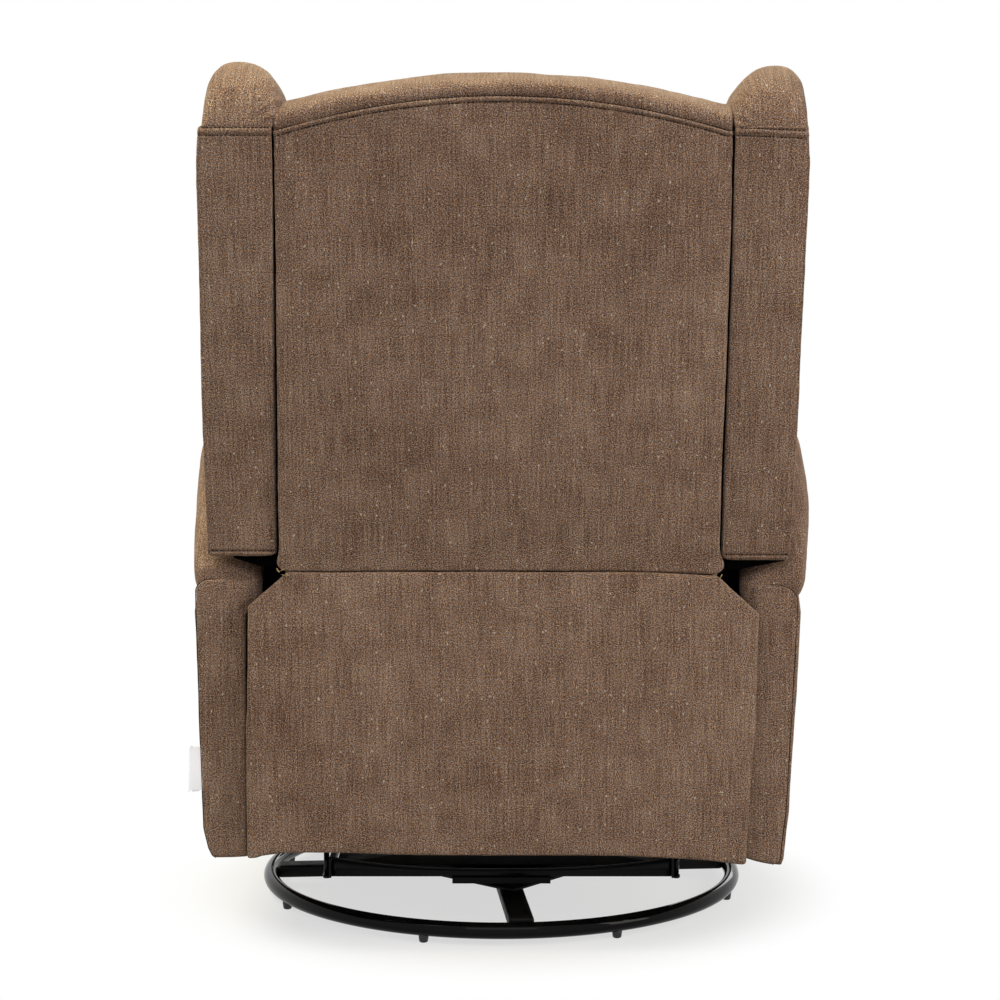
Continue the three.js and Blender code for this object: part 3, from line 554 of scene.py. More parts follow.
# ---------------------------------------------------------------- lower back panel
# A board padded thinly and covered in chenille, its upper corners cut off. It closes the
# chair behind, between the arms, and hangs a little in front of their rear panels.
def make_weave_group():
    """Chenille: short tufted yarns laid up and across, pale where they crown, dark in the
    gaps between them, and changing from warmer to greyer from yarn to yarn"""
    tree, into, out = new_group("chenille_weave", [
        ("Deep", "NodeSocketColor", (0.03, 0.02, 0.015, 1)),
        ("Plain", "NodeSocketColor", (0.18, 0.12, 0.08, 1)),
        ("Pale", "NodeSocketColor", (0.4, 0.33, 0.26, 1)),
        ("Warm", "NodeSocketColor", (1.0, 1.0, 1.0, 1)),
        ("Grey", "NodeSocketColor", (1.0, 1.0, 1.0, 1)),
        ("Fleck", "NodeSocketColor", (0.7, 0.6, 0.5, 1)),
    ], [("Color", "NodeSocketColor"), ("Height", "NodeSocketFloat")])
    place = new_node(tree, "UVMap", uv_map="weave").outputs[0]

    def threads(along, across, shift, detail=0.0):
        """Noise in metres of cloth: so many changes along and across"""
        return speckle(tree, stretch(tree, place, (across, along, 1), (shift, shift * 1.7, 0)),
                       "2D", Scale=1, Detail=detail, Roughness=0.6)

    patch = step(tree, threads(90, 110, 3.0, 1.0), 0.47, 0.57)
    yarn = blend_value(tree, patch, threads(480, 760, 1.0, 1.0), threads(760, 440, 2.0, 1.0))
    parts = ((1.10, yarn), (1.15, threads(800, 800, 4.0)), (0.32, threads(18, 480, 5.0)),
             (0.10, threads(520, 22, 6.0)), (0.30, threads(26, 26, 7.0, 2.0)),
             (0.20, threads(4, 5, 8.0, 1.0)))
    level = 0.5 - 0.5 * sum(amount for amount, part in parts)
    for amount, part in parts:
        level = maths(tree, "MULTIPLY_ADD", part, amount, level)
    low = maths(tree, "MULTIPLY", level, 2.0, clamp=True)
    high = maths(tree, "MULTIPLY_ADD", level, 2.0, -1.0, clamp=True)
    colour = blend_colour(tree, low, into["Deep"], into["Plain"])
    colour = blend_colour(tree, high, colour, into["Pale"])
    hue = blend_colour(tree, step(tree, threads(460, 600, 9.0), 0.34, 0.66),
                       into["Warm"], into["Grey"])
    colour = blend_colour(tree, 1.0, colour, hue, "MULTIPLY")
    slub = new_node(tree, "TexVoronoi", {"Vector": stretch(tree, place, (620, 430, 1)),
                                         "Scale": 1}, voronoi_dimensions="2D")
    lone = new_node(tree, "SeparateColor", {0: slub.outputs["Color"]}).outputs[2]
    flecks = maths(tree, "MULTIPLY", step(tree, lone, 0.995, 0.997), 0.6)
    tree.links.new(blend_colour(tree, flecks, colour, into["Fleck"]), out["Color"])
    tree.links.new(level, out["Height"])
    return tree


weave_group = make_weave_group()


def woven(name, deep, plain, pale, warm, grey, fleck, bump, shader_values):
    return finished(name, weave_group, {
        "Deep": paint(*deep), "Plain": paint(*plain), "Pale": paint(*pale), "Warm": warm,
        "Grey": grey, "Fleck": paint(*fleck)}, bump, shader_values)


chenille = woven("taupe_chenille", (56, 37, 28), (133, 104, 87), (192, 168, 146),
                 (1.13, 0.984, 0.785, 1), (0.885, 1.0, 1.22, 1), (226, 210, 188), (0.42, 0.0007),
                 {"Roughness": 0.95, "Specular IOR Level": 0.12, "Sheen Weight": 0.30,
                  "Sheen Roughness": 0.5, "Sheen Tint": paint(226, 206, 180)})
# Dark thread for the stitched seams; along the arms' rear seams it also paints the shade of the gap
dark_thread_and_seam_shade = coated("dark_sewing_thread_and_seam_shade", (40, 30, 25), (60, 48, 38), 0.0, 0.8, 0.9, 2500.0,
                     (0.2, 0.0002), {"Specular IOR Level": 0.2})


def lay_weave(piece, lean=0.0, shift=0.0):
    """Lays the cloth on each face from the side it faces, in metres"""
    mesh = piece.data
    layer = mesh.uv_layers.get("weave") or mesh.uv_layers.new(name="weave")

    def listed(things, key, kind=float, each=1):
        values = np.zeros(len(things) * each, kind)
        things.foreach_get(key, values)
        return values

    points = listed(mesh.vertices, "co", each=3).reshape(-1, 3)
    normals = listed(mesh.polygons, "normal", each=3).reshape(-1, 3)
    c, s = math.cos(lean), math.sin(lean)
    upright = np.array([[1, 0, 0], [0, c, -s], [0, s, c]])
    facing = np.abs(normals @ upright.T).argmax(1).repeat(listed(mesh.polygons, "loop_total", int))
    at = (points @ upright.T)[listed(mesh.loops, "vertex_index", int)] + shift
    u = np.where(facing == 0, at[:, 1], at[:, 0])
    v = np.where(facing == 2, at[:, 1], at[:, 2])
    layer.data.foreach_set("uv", np.stack([u, v], 1).ravel())


def unevenness(point, feels):
    """How far a cover lies off its even form at a point, as cloth over foam does"""
    point = Vector(point)
    return sum(amount * noise.noise(point / length + Vector((seed * 7.3, seed * 3.1, seed * 5.7)))
               for amount, length, seed in feels)


def settle(piece, feels):
    mesh = piece.data
    moves = [v.normal * unevenness(v.co, feels) for v in mesh.vertices]
    for vertex, move in zip(mesh.vertices, moves):
        vertex.co += move
    mesh.update()


def covered(name, skin, node, body, feels, lean=0.0, shift=0.0):
    """A padded piece in the chenille, in place of the frame's solid"""
    piece = mesh_piece(name, *skin, chenille, "chenille", body)
    settle(piece, feels)
    lay_weave(piece, lean, shift)
    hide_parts(node)


def spaced(low, high, pitch, fine=()):
    """Heights from low to high, closer together inside each fine band"""
    count = max(2, round((high - low) / pitch))
    values = {low + (high - low) * k / count for k in range(count + 1)}
    for a, b, small in fine:
        inner = round((b - a) / small)
        values = {v for v in values if not a < v < b or v in (low, high)}
        values |= {a + (b - a) * k / inner for k in range(inner + 1)}
    nearest = 0.0003
    kept = [min(values)]
    for v in sorted(values):
        if v - kept[-1] > nearest:
            kept.append(v)
    return kept


def unit(value):
    return min(max(value, 0), 1)


def eased(share):
    return share * share * (3 - 2 * share)


def quarter(share):
    """How far a rounded edge lies in, from 1 at its tip to 0 where it ends"""
    return 1 - math.sqrt(1 - (1 - unit(share)) ** 2)


def groove(distance, wide=0.0011):
    return math.exp(-(distance / wide) ** 2)


lower_rear, lower_front = 0.3562, 0.3465
lower_low, lower_high = 0.1205, 0.4583
lower_cut_z, lower_cut_x = {1: 0.4175, -1: 0.4137}, {1: 0.0460, -1: 0.0485}
lower_edge_z = (0.125, 0.209, 0.270, 0.300, 0.410)
lower_edge_x = {1: (0.3012, 0.3016, 0.3014, 0.2998, 0.2976),
                -1: (0.2900, 0.2950, 0.2992, 0.3006, 0.3024)}
hem_x = (-0.300, -0.288, -0.282, -0.247, -0.197, -0.140, -0.069,
         0.0215, 0.100, 0.203, 0.248, 0.274, 0.290, 0.302)
hem_z = (0.1090, 0.1100, 0.1098, 0.1145, 0.1180, 0.1205, 0.1215,
         0.1205, 0.1220, 0.1241, 0.1242, 0.1237, 0.1180, 0.1172)


def lower_panel_half(z, side):
    """Half width at a height: cut off above, and drawn in a little below on one side"""
    half = float(np.interp(z, lower_edge_z, lower_edge_x[side]))
    if z > lower_cut_z[side]:
        half -= lower_cut_x[side] * (z - lower_cut_z[side]) / (lower_high - lower_cut_z[side])
    return half


def seam_droop(x):
    """How far the seam between the two back covers hangs at a place across"""
    return 0.0046 * max(0, (-x - 0.110) / 0.145) ** 2


rings = []
edge, seam_reach = 0.0030, 0.10
heights = [(lower_low + edge * (1 - math.cos(math.pi / 2 * k / 4)),
            edge * (1 - math.sin(math.pi / 2 * k / 4))) for k in range(4)]
heights += [(z, 0.0) for z in spaced(lower_low + edge, lower_high - edge, 0.006,
                                     [(0.4065, 0.4215, 0.0011)])]
heights += [(lower_high - (z - lower_low), inset) for z, inset in heights[:4][::-1]]
for z, inset in heights:
    right, left = lower_panel_half(z, -1) - inset, lower_panel_half(z, 1) - inset
    ring = rounded_rectangle(-right, left, lower_front + inset, lower_rear - inset,
                             [0.0034, 0.0022, 0.0022, 0.0034], (110, 0, 12, 0), 4)
    points = []
    for x, y in ring:
        across = min(abs(x) / 0.300, 1)
        swell = 0.0024 * (1 - across ** 4) * (1 - (abs(z - 0.289) / 0.170) ** 4) if y > 0.352 else 0
        hang = max(0, (0.22 - z) / 0.10) ** 1.5 * (float(np.interp(x, hem_x, hem_z)) - lower_low)
        droop = seam_droop(x) * max(0, 1 - (lower_high - z) / seam_reach)
        points.append((x, y + swell, z + hang - droop))
    rings.append(points)
# Both ends are closed inside the padding, so that the curved hems stay clean
for end, level in ((0, 0.1300), (-1, 0.4480)):
    closing = [(x * 0.994, 0.35135 + (y - 0.35135) * 0.3, level) for x, y, z in rings[end]]
    rings.insert(0 if end == 0 else len(rings), closing)
# The cover's edges turn in beside the slots, as a strip behind each side
strips = [rounded_block((x0, 0.3372, 0.128), (x1, 0.3480, 0.402), 0.0015)
          for x0, x1 in ((-0.2865, -0.2790), (0.2865, 0.2960))]
covered("lower_back_cover", joined(lofted(rings), *strips), "lower_back_panel", "seat_base",
        ((0.0009, 0.09, 1), (0.0004, 0.014, 2)))

# Ends of the woven yarn stand out where the covers' corners were cut
bare_yarn = woven("frayed_bare_yarn", (120, 94, 66), (186, 158, 120), (216, 194, 158),
                  (1.05, 1, 0.9, 1), (0.98, 1, 1.05, 1), (226, 210, 188), (0.3, 0.0004),
                  {"Roughness": 0.95, "Specular IOR Level": 0.12})
yarn_ends = ((0.2602, 0.4588, 0.5), (0.2608, 0.4596, 0.9), (0.2590, 0.4600, 2.6),
             (0.2512, 0.4530, 1.2), (0.2498, 0.4545, 0.8), (0.2524, 0.4512, 1.9),
             (0.2486, 0.4520, 1.5), (0.2535, 0.4540, 0.4), (-0.2560, 0.4508, 2.0))
frayed = []
for k, (x, z, turn) in enumerate(yarn_ends):
    start = Vector((x, 0.3572, z))
    far = Vector((math.cos(turn), 0.25, math.sin(turn))) * (0.0036 + 0.0012 * (k % 3))
    frayed.append(tube([start, start + far * 0.55 + Vector((0, 0.0008, 0.0004)), start + far],
                       [0.0006, 0.0006, 0.0004], 6))
loose_ends = mesh_piece("frayed_yarn_ends", *joined(*frayed), bare_yarn, "chenille", "seat_base")
lay_weave(loose_ends)


# ---------------------------------------------------------------- arms
# Each arm is a padded box with chenille pulled over it. A rear panel with an arched top is
# sewn in behind, and the outer cover wraps a little round onto the rear.
arm_in, arm_out, arm_foot, arm_nose, arm_tail = 0.2835, 0.3520, 0.1150, -0.4240, 0.3250
arm_flat_end, arm_top_line, arm_tail_top = 0.060, 0.620, 0.462
arm_rear = {1: ((0.117, 0.127, 0.150, 0.278, 0.416, 0.470),
                (0.3480, 0.3530, 0.3586, 0.3622, 0.3654, 0.3655)),
            -1: ((0.112, 0.122, 0.170, 0.300, 0.410, 0.470),
                 (0.3340, 0.3385, 0.3450, 0.3515, 0.3565, 0.3580))}
arm_sag_most = {1: 0.0022, -1: 0.0125}
sides = (("left", 1), ("right", -1))


def arm_line(y):
    if y <= arm_flat_end:
        return arm_top_line
    share = (y - arm_flat_end) / (arm_tail - arm_flat_end)
    return arm_top_line - (arm_top_line - arm_tail_top) * (share * 2 + share ** 2) / 3


def arm_outer(side, y, z):
    """Where the arm's outer face lies: fuller towards the rear, drawn in at its foot"""
    rear = np.interp(z, *arm_rear[side])
    front = np.interp(z, (0.115, 0.130, 0.30, 0.55), (0.3500, 0.3525, 0.3555, 0.3560))
    return float(front + (rear - front) * eased(unit((y + 0.25) / 0.40)))


def arm_sag(side, x, z):
    """How far the cover hangs at the arm's rear foot, most at its outer corner"""
    across = unit((x - arm_in) / (arm_out - arm_in))
    near_foot = max(0, 1 - (z - arm_foot) / 0.09) ** 2
    return arm_sag_most[side] * math.sin(math.pi / 2 * min(1, across * 1.2)) * near_foot


def arm_box(side):
    """Sections along the arm, from the rounded nose to the tail behind"""
    rings = []
    count, nose_round, tail_round = 78, 0.034, 0.005
    for k in range(count + 1):
        share = 0.5 - 0.5 * math.cos(math.pi * k / count)
        y = arm_nose + 0.0015 + (arm_tail - 0.0016 - arm_nose) * share
        pinch = nose_round * quarter((y - arm_nose) / nose_round)
        tuck = tail_round * quarter((arm_tail - y) / tail_round)
        low, high = arm_foot + tuck * 0.3 + pinch * 0.25, arm_line(y) - 0.050
        tail_in = 0.0030 * max(0, (y - 0.25) / 0.078)
        ring = rounded_rectangle(arm_in + pinch + tuck * 0.2 + tail_in, arm_out - pinch - tuck,
                                 low, high, [0.008, 0.006, 0.005, 0.010], (6, 40, 6, 34), 6)
        points = []
        for x, z in ring:
            share = max(0, (x - 0.318) / (arm_out - 0.318))
            sag = arm_sag(side, x, z) * max(0, (y - 0.02) / 0.305) ** 2
            points.append((side * (x + (arm_outer(side, y, z) - arm_out) * share ** 2), y, z - sag))
        rings.append(points)
    return rings


for word, side in sides:
    covered(f"arm_cover_{word}", lofted(arm_box(side)), f"arm_{word}", "seat_base",
            ((0.0014, 0.10, 3 + side), (0.0004, 0.016, 5)), shift=0.37 * side)


def arm_panel_rings(side):
    """The rear panel: a thin padded tongue whose outer upper corner is an arch"""
    low, slope_tall, soft_edge = 0.1160, 0.046, 0.003
    high, arch_wide, arch_tall, foot_round, drawn_in, seam_y = {
        1: (0.4482, 0.019, 0.015, 0.004, 0.0040, arm_tail + 0.0092),
        -1: (0.4410, 0.027, 0.021, 0.007, 0.0064, arm_tail + 0.0080)}[side]
    rings, seam = [], []
    stops = spaced(low, high, 0.005, [(high - 0.050, high, 0.0012), (low, low + 0.014, 0.0012)])
    for z in stops:
        arch = arch_wide * quarter((high - z) / arch_tall)
        slope = max(0, (z - high + slope_tall) / slope_tall)
        foot = foot_round * quarter((z - low) / foot_round)
        end = min(1, (high - z) / soft_edge, (z - low) / soft_edge)
        soft = soft_edge * quarter(end)
        inner = (0.3036 - 0.0150 * eased(unit((z - 0.404) / 0.022))) if side > 0 else 0.2900
        outer = arm_outer(side, 0.33, z) - drawn_in - arch - foot
        seam.append((side * (outer + 0.0007), seam_y, z - arm_sag(side, outer, z)))
        ring = rounded_rectangle(inner, outer, arm_tail - 0.0020, arm_tail + 0.0108 - soft,
                                 [0.0014, 0.001, 0.001, 0.0030], (22, 1, 8, 1), 4)
        points = []
        for x, y in ring:
            across = unit((x - inner) / (outer - inner))
            crown = 0.0020 * math.sin(math.pi * across) ** 0.6 if y > arm_tail + 0.009 else 0
            merge = 0.0068 * (1 - eased(unit((x - inner) / 0.016))) * min(1, slope * 3)
            merge = merge if y > arm_tail + 0.003 else 0
            points.append((side * x, y + crown * end - merge, z - arm_sag(side, x, z)))
        rings.append(points)
    return rings, seam


for word, side in sides:
    rings, seam = arm_panel_rings(side)
    covered(f"arm_rear_cover_{word}", lofted(rings), f"arm_rear_panel_{word}", "seat_base",
            ((0.0007, 0.05, 8 + side), (0.0003, 0.014, 9)), shift=0.21 * side)
    # A dark cord up the seam's outer edge and over the arch: thread, and painted shade for the
    # seam's gap
    x, y, z = seam[-1]
    ends = [(x - side * 0.003 * k, y - 0.0002 * k * k, z - 0.0001 * k * k) for k in range(1, 6)]
    sizes = [0.0006] * len(seam) + [0.0006, 0.0005, 0.0004, 0.0003, 0.0002]
    mesh_piece(f"arm_seam_thread_and_shade_{word}", *tube(seam + ends, sizes, 8), dark_thread_and_seam_shade,
               "chenille", "seat_base")


# ---------------------------------------------------------------- arm pads
# A fat roll of foam over each arm, wrapped in the same cloth. It overhangs outside and
# runs down behind to the arched panel, where its end is tucked under.
pad_y = (-0.424, -0.30, 0.060, 0.100, 0.150, 0.200, 0.250, 0.300, 0.336)
pad_out = {1: (0.3860, 0.3890, 0.3895, 0.3875, 0.3840, 0.3795, 0.3738, 0.3675, 0.3635),
           -1: (0.3860, 0.3890, 0.3895, 0.3892, 0.3862, 0.3812, 0.3740, 0.3660, 0.3590)}


def boxy(part, power):
    """A cosine or sine, bent so that its circle turns boxier as the power falls"""
    return math.copysign(abs(part) ** power, part)


def arm_pad_rings(side):
    """Sections along the roll, from its round nose to the end tucked under behind"""
    rings = []
    count = 84
    end_y = arm_tail + 0.0062
    for k in range(count + 1):
        share = (k + 0.12) / (count + 0.24)
        y = arm_nose + (end_y - arm_nose) * (0.5 - 0.5 * math.cos(math.pi * share))
        nose = 1 - quarter((y - arm_nose) / 0.040)
        tail = 1 - quarter((end_y - y) / 0.016)
        rear_share = unit((y - 0.14) / 0.18)
        outer = float(np.interp(y, pad_y, pad_out[side]))
        inner = float(np.interp(y, (0.13, 0.20), (0.2785, 0.2848 if side > 0 else 0.2838)))
        size = 0.068 - 0.012 * rear_share
        top = arm_line(min(y, arm_tail))
        centre_x, half_x = (outer + inner) / 2, (outer - inner) / 2
        centre_z, half_z = top - size / 2, size / 2
        half_x *= (0.60 + 0.40 * nose) * (0.74 + 0.26 * tail)
        half_z *= (0.40 + 0.60 * nose) * (0.66 + 0.34 * tail)
        ring = []
        for c, s in around(52):
            bend = (0.62 if s > 0 else 0.80) + (0.24 * rear_share if c < 0 else 0)
            if side < 0 and c > 0 and s > 0:
                bend = 0.53
            x = centre_x + half_x * boxy(c, bend)
            tilt = 0.26 * rear_share * (x - 0.312)
            ring.append((side * x, y, centre_z + half_z * boxy(s, bend) + tilt))
        rings.append(ring)
    return rings


for word, side in sides:
    covered(f"arm_pad_roll_{word}", lofted(arm_pad_rings(side)), f"arm_pad_{word}", "seat_base",
            ((0.0018, 0.07, 11 + side), (0.0005, 0.018, 14)), shift=0.53 * side)


# ---------------------------------------------------------------- black sheets of painted shade
# Thin black cambric laid as painted shade where the chenille lies in shadow: on the inner faces of
# the arms behind the seat, down the slots beside the lower panel, and under the back.
# The same near-black cloth is also the real cambric laid over the seat springs further on
cambric_and_painted_shade = coated("black_cambric_and_painted_shade", (9, 8, 8), (18, 17, 16), 0.0, 0.85, 0.95, 1800.0,
                 (0.3, 0.0002), {"Specular IOR Level": 0.0})


def black_cloth(name, skin, body="seat_base"):
    return mesh_piece(name, *skin, cambric_and_painted_shade, "black_plastic", body)


# Painted shade on the arms' inner faces behind the seat: black sheets over the chenille there
inner_low, inner_start, inner_end, strips = 0.300, 0.075, 0.319, 48
for word, side in sides:
    stations = [inner_start + (inner_end - inner_start) * k / strips for k in range(strips + 1)]
    rings, tops = [], []
    for y in stations:
        top = arm_line(y) - 0.048 + 0.036 * unit((y - 0.215) / 0.05)
        if y < 0.21:
            top = min(top, 0.478 + 0.9 * max(0, y - 0.168))
        tops.append(top)
        x0, x1 = sorted((side * 0.28195, side * 0.28295))
        ring = rounded_rectangle(x0, x1, inner_low, top, [0.0003] * 4, (0, 24, 0, 24), 2)
        rings.append([(x, y, z) for x, z in ring])
    painted_shade_sheet = black_cloth(f"inner_arm_painted_shade_sheet_{word}", lofted(rings))
# Painted shadow line: a black strip down the slot beside the lower panel
slot_painted_shade_sheet = black_cloth("slot_painted_shade_sheet", rounded_block(
    (0.2905, 0.3254, 0.122), (0.3055, 0.3270, 0.412), 0.0004))
# Painted shade: a black strip behind the gap under the back's foot, for its dark line
foot_painted_shade_sheet = black_cloth("back_foot_painted_shade_sheet", rounded_block(
    (-0.249, 0.3400, 0.4200), (0.249, 0.3412, 0.4560), 0.0003))


# ---------------------------------------------------------------- bare tag
# A folded end of white woven tape, sewn into the outer rear seam. It carries nothing.
# The tape's cloth glows a little: painted light that keeps it white
tape = woven("white_woven_tape_with_painted_glow", (246, 245, 250), (253, 252, 255), (255, 255, 255),
             (1, 1, 1, 1), (0.98, 0.98, 1, 1), (250, 249, 252), (0.25, 0.0002),
             {"Roughness": 0.8, "Specular IOR Level": 0.3, "Emission Strength": 0.40,
              "Emission Color": (0.9, 0.9, 0.92, 1)})
tag_sewn, tag_end, tag_low, tag_tall = 0.3570, 0.3742, 0.1925, 0.0555
rings = []
for k in range(21):
    share = k / 20
    shift, wave = 0.0012 * share, 0.0007 * math.sin(share * 5)
    ring = rounded_rectangle(tag_sewn - shift, tag_end - shift, 0.3236 + wave, 0.3246 + wave,
                             [0.0004] * 4, (10, 0, 10, 0), 2)
    rings.append([(x, y + 0.002 * ((x - tag_sewn) / 0.0155) ** 2,
                   tag_low + tag_tall * share - 0.07 * (x - tag_sewn)) for x, y in ring])
tag = mesh_piece("blank_tape_tag", *lofted(rings), tape, "white_tape", "seat_base")
lay_weave(tag)
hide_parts("blank_tag")


# ---------------------------------------------------------------- release lever
# A moulded black paddle on a steel pin, in the slot between cushion and arm.
dress("release_lever", black_plastic)


# ---------------------------------------------------------------- centre back
# The outer back: cloth drawn over a padded board. A felled double seam arches across its
# top, and a roll of wadding goes over the top from there.
back_lean = math.radians(9.9)
back_foot = Vector((0, 0.352, 0.462))
back_up = Vector((0, math.sin(back_lean), math.cos(back_lean)))
back_forward = Vector((0, -math.cos(back_lean), math.sin(back_lean)))


def on_back(x, forward, up):
    """A point given across, forward of the back's rear face and up along its lean"""
    return Vector((x, 0, 0)) + back_foot + back_forward * forward + back_up * up


centre_half, centre_foot = 0.2545, -0.0036
gap_up = (0.0, 0.053, 0.109, 0.222, 0.330, 0.433, 0.484, 0.52)
gap_x = {1: (0.2625, 0.2622, 0.2614, 0.2596, 0.2578, 0.2566, 0.2562, 0.2562),
         -1: (0.2568, 0.2570, 0.2574, 0.2588, 0.2600, 0.2602, 0.2604, 0.2604)}
seam_end, seam_rise, seam_wide = 0.5085, 0.0385, 0.0072


def seam_line(x):
    """Height of the arched seam's upper line"""
    return seam_end + seam_rise * (1 - min(abs(x) / centre_half, 1) ** 2)


def centre_half_at(up, side=1):
    """The back's edge lies just inside the gap beside the wing, and flares at its foot"""
    flare = 0.0030 if side > 0 else 0.0058
    return float(np.interp(up, gap_up, gap_x[side])) - 0.0013 + flare * groove(up - 0.008, 0.011)


def back_relief(x, up):
    """How far the cover stands out behind its board: crowned, with the seam's two grooves"""
    across = min(abs(x) / centre_half_at(up, 1 if x > 0 else -1), 1)
    share = unit((up - centre_foot) / (seam_line(x) - centre_foot))
    below = seam_line(x) - up
    relief = 0.0036 * (1 - across ** 3) * math.sin(math.pi * share) ** 0.5
    relief += 0.0014 * groove(below - seam_wide / 2, 0.0026)
    relief -= 0.0021 * groove(below - seam_wide, 0.0013) + 0.0017 * groove(below, 0.0013)
    pucker = 0.0005 * math.sin(x * 1250 + math.sin(x * 90) * 2)
    return relief + pucker * groove(below - seam_wide, 0.004)


back_feels = ((0.0009, 0.09, 21), (0.0004, 0.014, 22))
rings = []
rows = spaced(0.0, 1.0, 0.0085, [(0.955, 1.0, 0.0013), (0.0, 0.035, 0.0022)])
for share in rows:
    middle_up = centre_foot + (seam_end - centre_foot) * share
    right, left = centre_half_at(middle_up, -1), centre_half_at(middle_up, 1)
    round_in = 0.010 * quarter((middle_up - centre_foot) / 0.010)
    soft = 0.003 * quarter(min((1 - share) / 0.004, share / 0.006))
    ring = rounded_rectangle(-right + round_in, left - round_in, soft, 0.0145,
                             [0.004, 0.003, 0.0030, 0.003], (14, 1, 120, 1), 6)
    points = []
    for x, forward in ring:
        up = centre_foot + (seam_line(x) - centre_foot) * share
        if forward < 0.0075:
            forward -= back_relief(x, up)
        else:
            up += 0.0025 * max(0, 1 - share * 20)
        up -= seam_droop(x) * max(0, 1 - share * 5)
        points.append(on_back(x, forward, up))
    rings.append(points)
covered("centre_back_cover", lofted(rings), "back_outer_panel", "backrest", back_feels,
        back_lean)


def roll_section(x):
    """The top roll's closed section at a place across: rear seam, over, down in front"""
    seam_up = seam_line(x)
    share = min(abs(x) / centre_half, 1)
    crest = 0.5352 + 0.0336 * (1 - share ** 2) - 0.0020 * max(0, -x / centre_half) ** 2
    points = []
    depth, front_low = 0.128, 0.498
    for k in range(36):
        t = math.pi * k / 35
        forward = depth / 2 - depth / 2 * boxy(math.cos(t), 0.70)
        low = seam_up * (1 - forward / depth) + front_low * forward / depth
        points.append((forward + 0.0008, low + (crest - low) * math.sin(t) ** 0.54))
    return points + [(0.120, 0.4935), (0.085, 0.4925), (0.050, 0.4925), (0.030, 0.4990),
                     (0.018, seam_up - 0.006), (0.008, seam_up - 0.003)]


rings = []
for k in range(105):
    share = -math.cos(math.pi * (k + 0.5) / 105)
    x = (centre_half + (0.0008 if share > 0 else 0.0044)) * share
    tuck = 0.004 * (1 - math.sqrt(max(0, 1 - max(0, (abs(share) - 0.992) / 0.008) ** 2)))
    ring = []
    for forward, up in roll_section(x):
        inward = (forward - 0.064) / 0.064
        falls = 1 if up > 0.51 else -0.4
        ring.append(on_back(x, forward - inward * tuck, up - tuck * 0.5 * falls))
    rings.append(ring)
covered("top_roll_cover", lofted(rings), "back_top_roll", "backrest",
        ((0.0016, 0.06, 31), (0.0005, 0.016, 32)), back_lean)


def stitched(path, normals, length=0.0034, gap=0.0012, radius=0.00055):
    """Sewing thread along a path: a row of short stitches that dip at their ends"""
    skins = []
    steps = [0.0]
    for a, b in zip(path, path[1:]):
        steps.append(steps[-1] + (b - a).length)

    def at(distance):
        k = int(np.clip(np.searchsorted(steps, distance) - 1, 0, len(path) - 2))
        share = unit((distance - steps[k]) / max(steps[k + 1] - steps[k], 1e-9))
        return path[k].lerp(path[k + 1], share), normals[k].lerp(normals[k + 1], share)

    distance = gap
    while distance + length < steps[-1]:
        line = []
        for k in range(5):
            point, normal = at(distance + length * k / 4)
            line.append(point + normal * (radius * (2.0 * math.sin(math.pi * k / 4) - 0.8)))
        skins.append(tube(line, radius, 6))
        distance += length + gap
    return joined(*skins)


threads = []
right, left = centre_half_at(0.51, -1), centre_half_at(0.51)
for offset in (0.0006, seam_wide):
    path = []
    for k in range(181):
        x = -right + 0.003 + (right + left - 0.006) * k / 180
        up = seam_line(x) - offset
        point = on_back(x, -back_relief(x, up), up)
        path.append(point - back_forward * unevenness(point, back_feels))
    threads.append(stitched(path, [-back_forward] * 181))
mesh_piece("arched_seam_thread", *joined(*threads), dark_thread_and_seam_shade, "chenille", "backrest")


# ---------------------------------------------------------------- wings
# A padded side wing at each side of the back, flat behind, with a rounded cap sewn on over
# a felled seam, a hem along its foot and a thin welt down its outer rear edge.
wing_foot = {1: 0.4764, -1: 0.4716}
wing_z = (0.478, 0.530, 0.585, 0.655, 0.725, 0.800, 0.865, 0.898, 0.930, 0.9664)
wing_in = {1: (0.2637, 0.2633, 0.2628, 0.2617, 0.2606, 0.2592, 0.2582, 0.2576, 0.2574, 0.2574),
           -1: (0.2580, 0.2584, 0.2584, 0.2594, 0.2602, 0.2614, 0.2612, 0.2611, 0.2614, 0.2616)}
wing_out = {1: (0.3458, 0.3464, 0.3468, 0.3466, 0.3458, 0.3444, 0.3434, 0.3430, 0.3426, 0.3398),
            -1: (0.3398, 0.3412, 0.3424, 0.3436, 0.3440, 0.3448, 0.3456, 0.3462, 0.3464, 0.3436)}
wing_band, band_wide = 0.9664, 0.0083
wing_crest, wing_crown = {1: 0.3040, -1: 0.3116}, {1: 1.0507, -1: 1.0462}
wing_dome = {1: (3.9, 0.44, 0.0556, 3.0, 0.50), -1: (5.2, 0.41, 0.0535, 2.6, 0.62)}
wing_foot_y, wing_band_y, wing_crown_y = 0.3475, 0.4410, 0.3430


def bezier(p0, p1, p2, p3, count):
    out = []
    for k in range(count + 1):
        t = k / count
        a, b, c, d = (1 - t) ** 3, 3 * t * (1 - t) ** 2, 3 * t * t * (1 - t), t ** 3
        out.append((a * p0[0] + b * p1[0] + c * p2[0] + d * p3[0],
                    a * p0[1] + b * p1[1] + c * p2[1] + d * p3[1]))
    return out


front_edge = [(0.343, 1.0535), *bezier((0.305, 1.044), (0.220, 0.969), (0.1225, 0.875),
                                       (0.080, 0.705), 40),
              (0.079, 0.66), (0.082, 0.629), (0.105, 0.611), (0.2263, 0.5455),
              (0.318, 0.4930), (0.330, 0.4716)]
front_y, front_z = zip(*front_edge[::-1])


def wing_rear_y(side, z):
    if z <= wing_band:
        share = (z - wing_foot[1]) / (wing_band - wing_foot[1])
        return wing_foot_y + (wing_band_y - wing_foot_y) * share
    share = min((z - wing_band) / (wing_crown[side] - wing_band), 1)
    return wing_crown_y + (wing_band_y - wing_crown_y) * math.sqrt(1 - share ** 2)


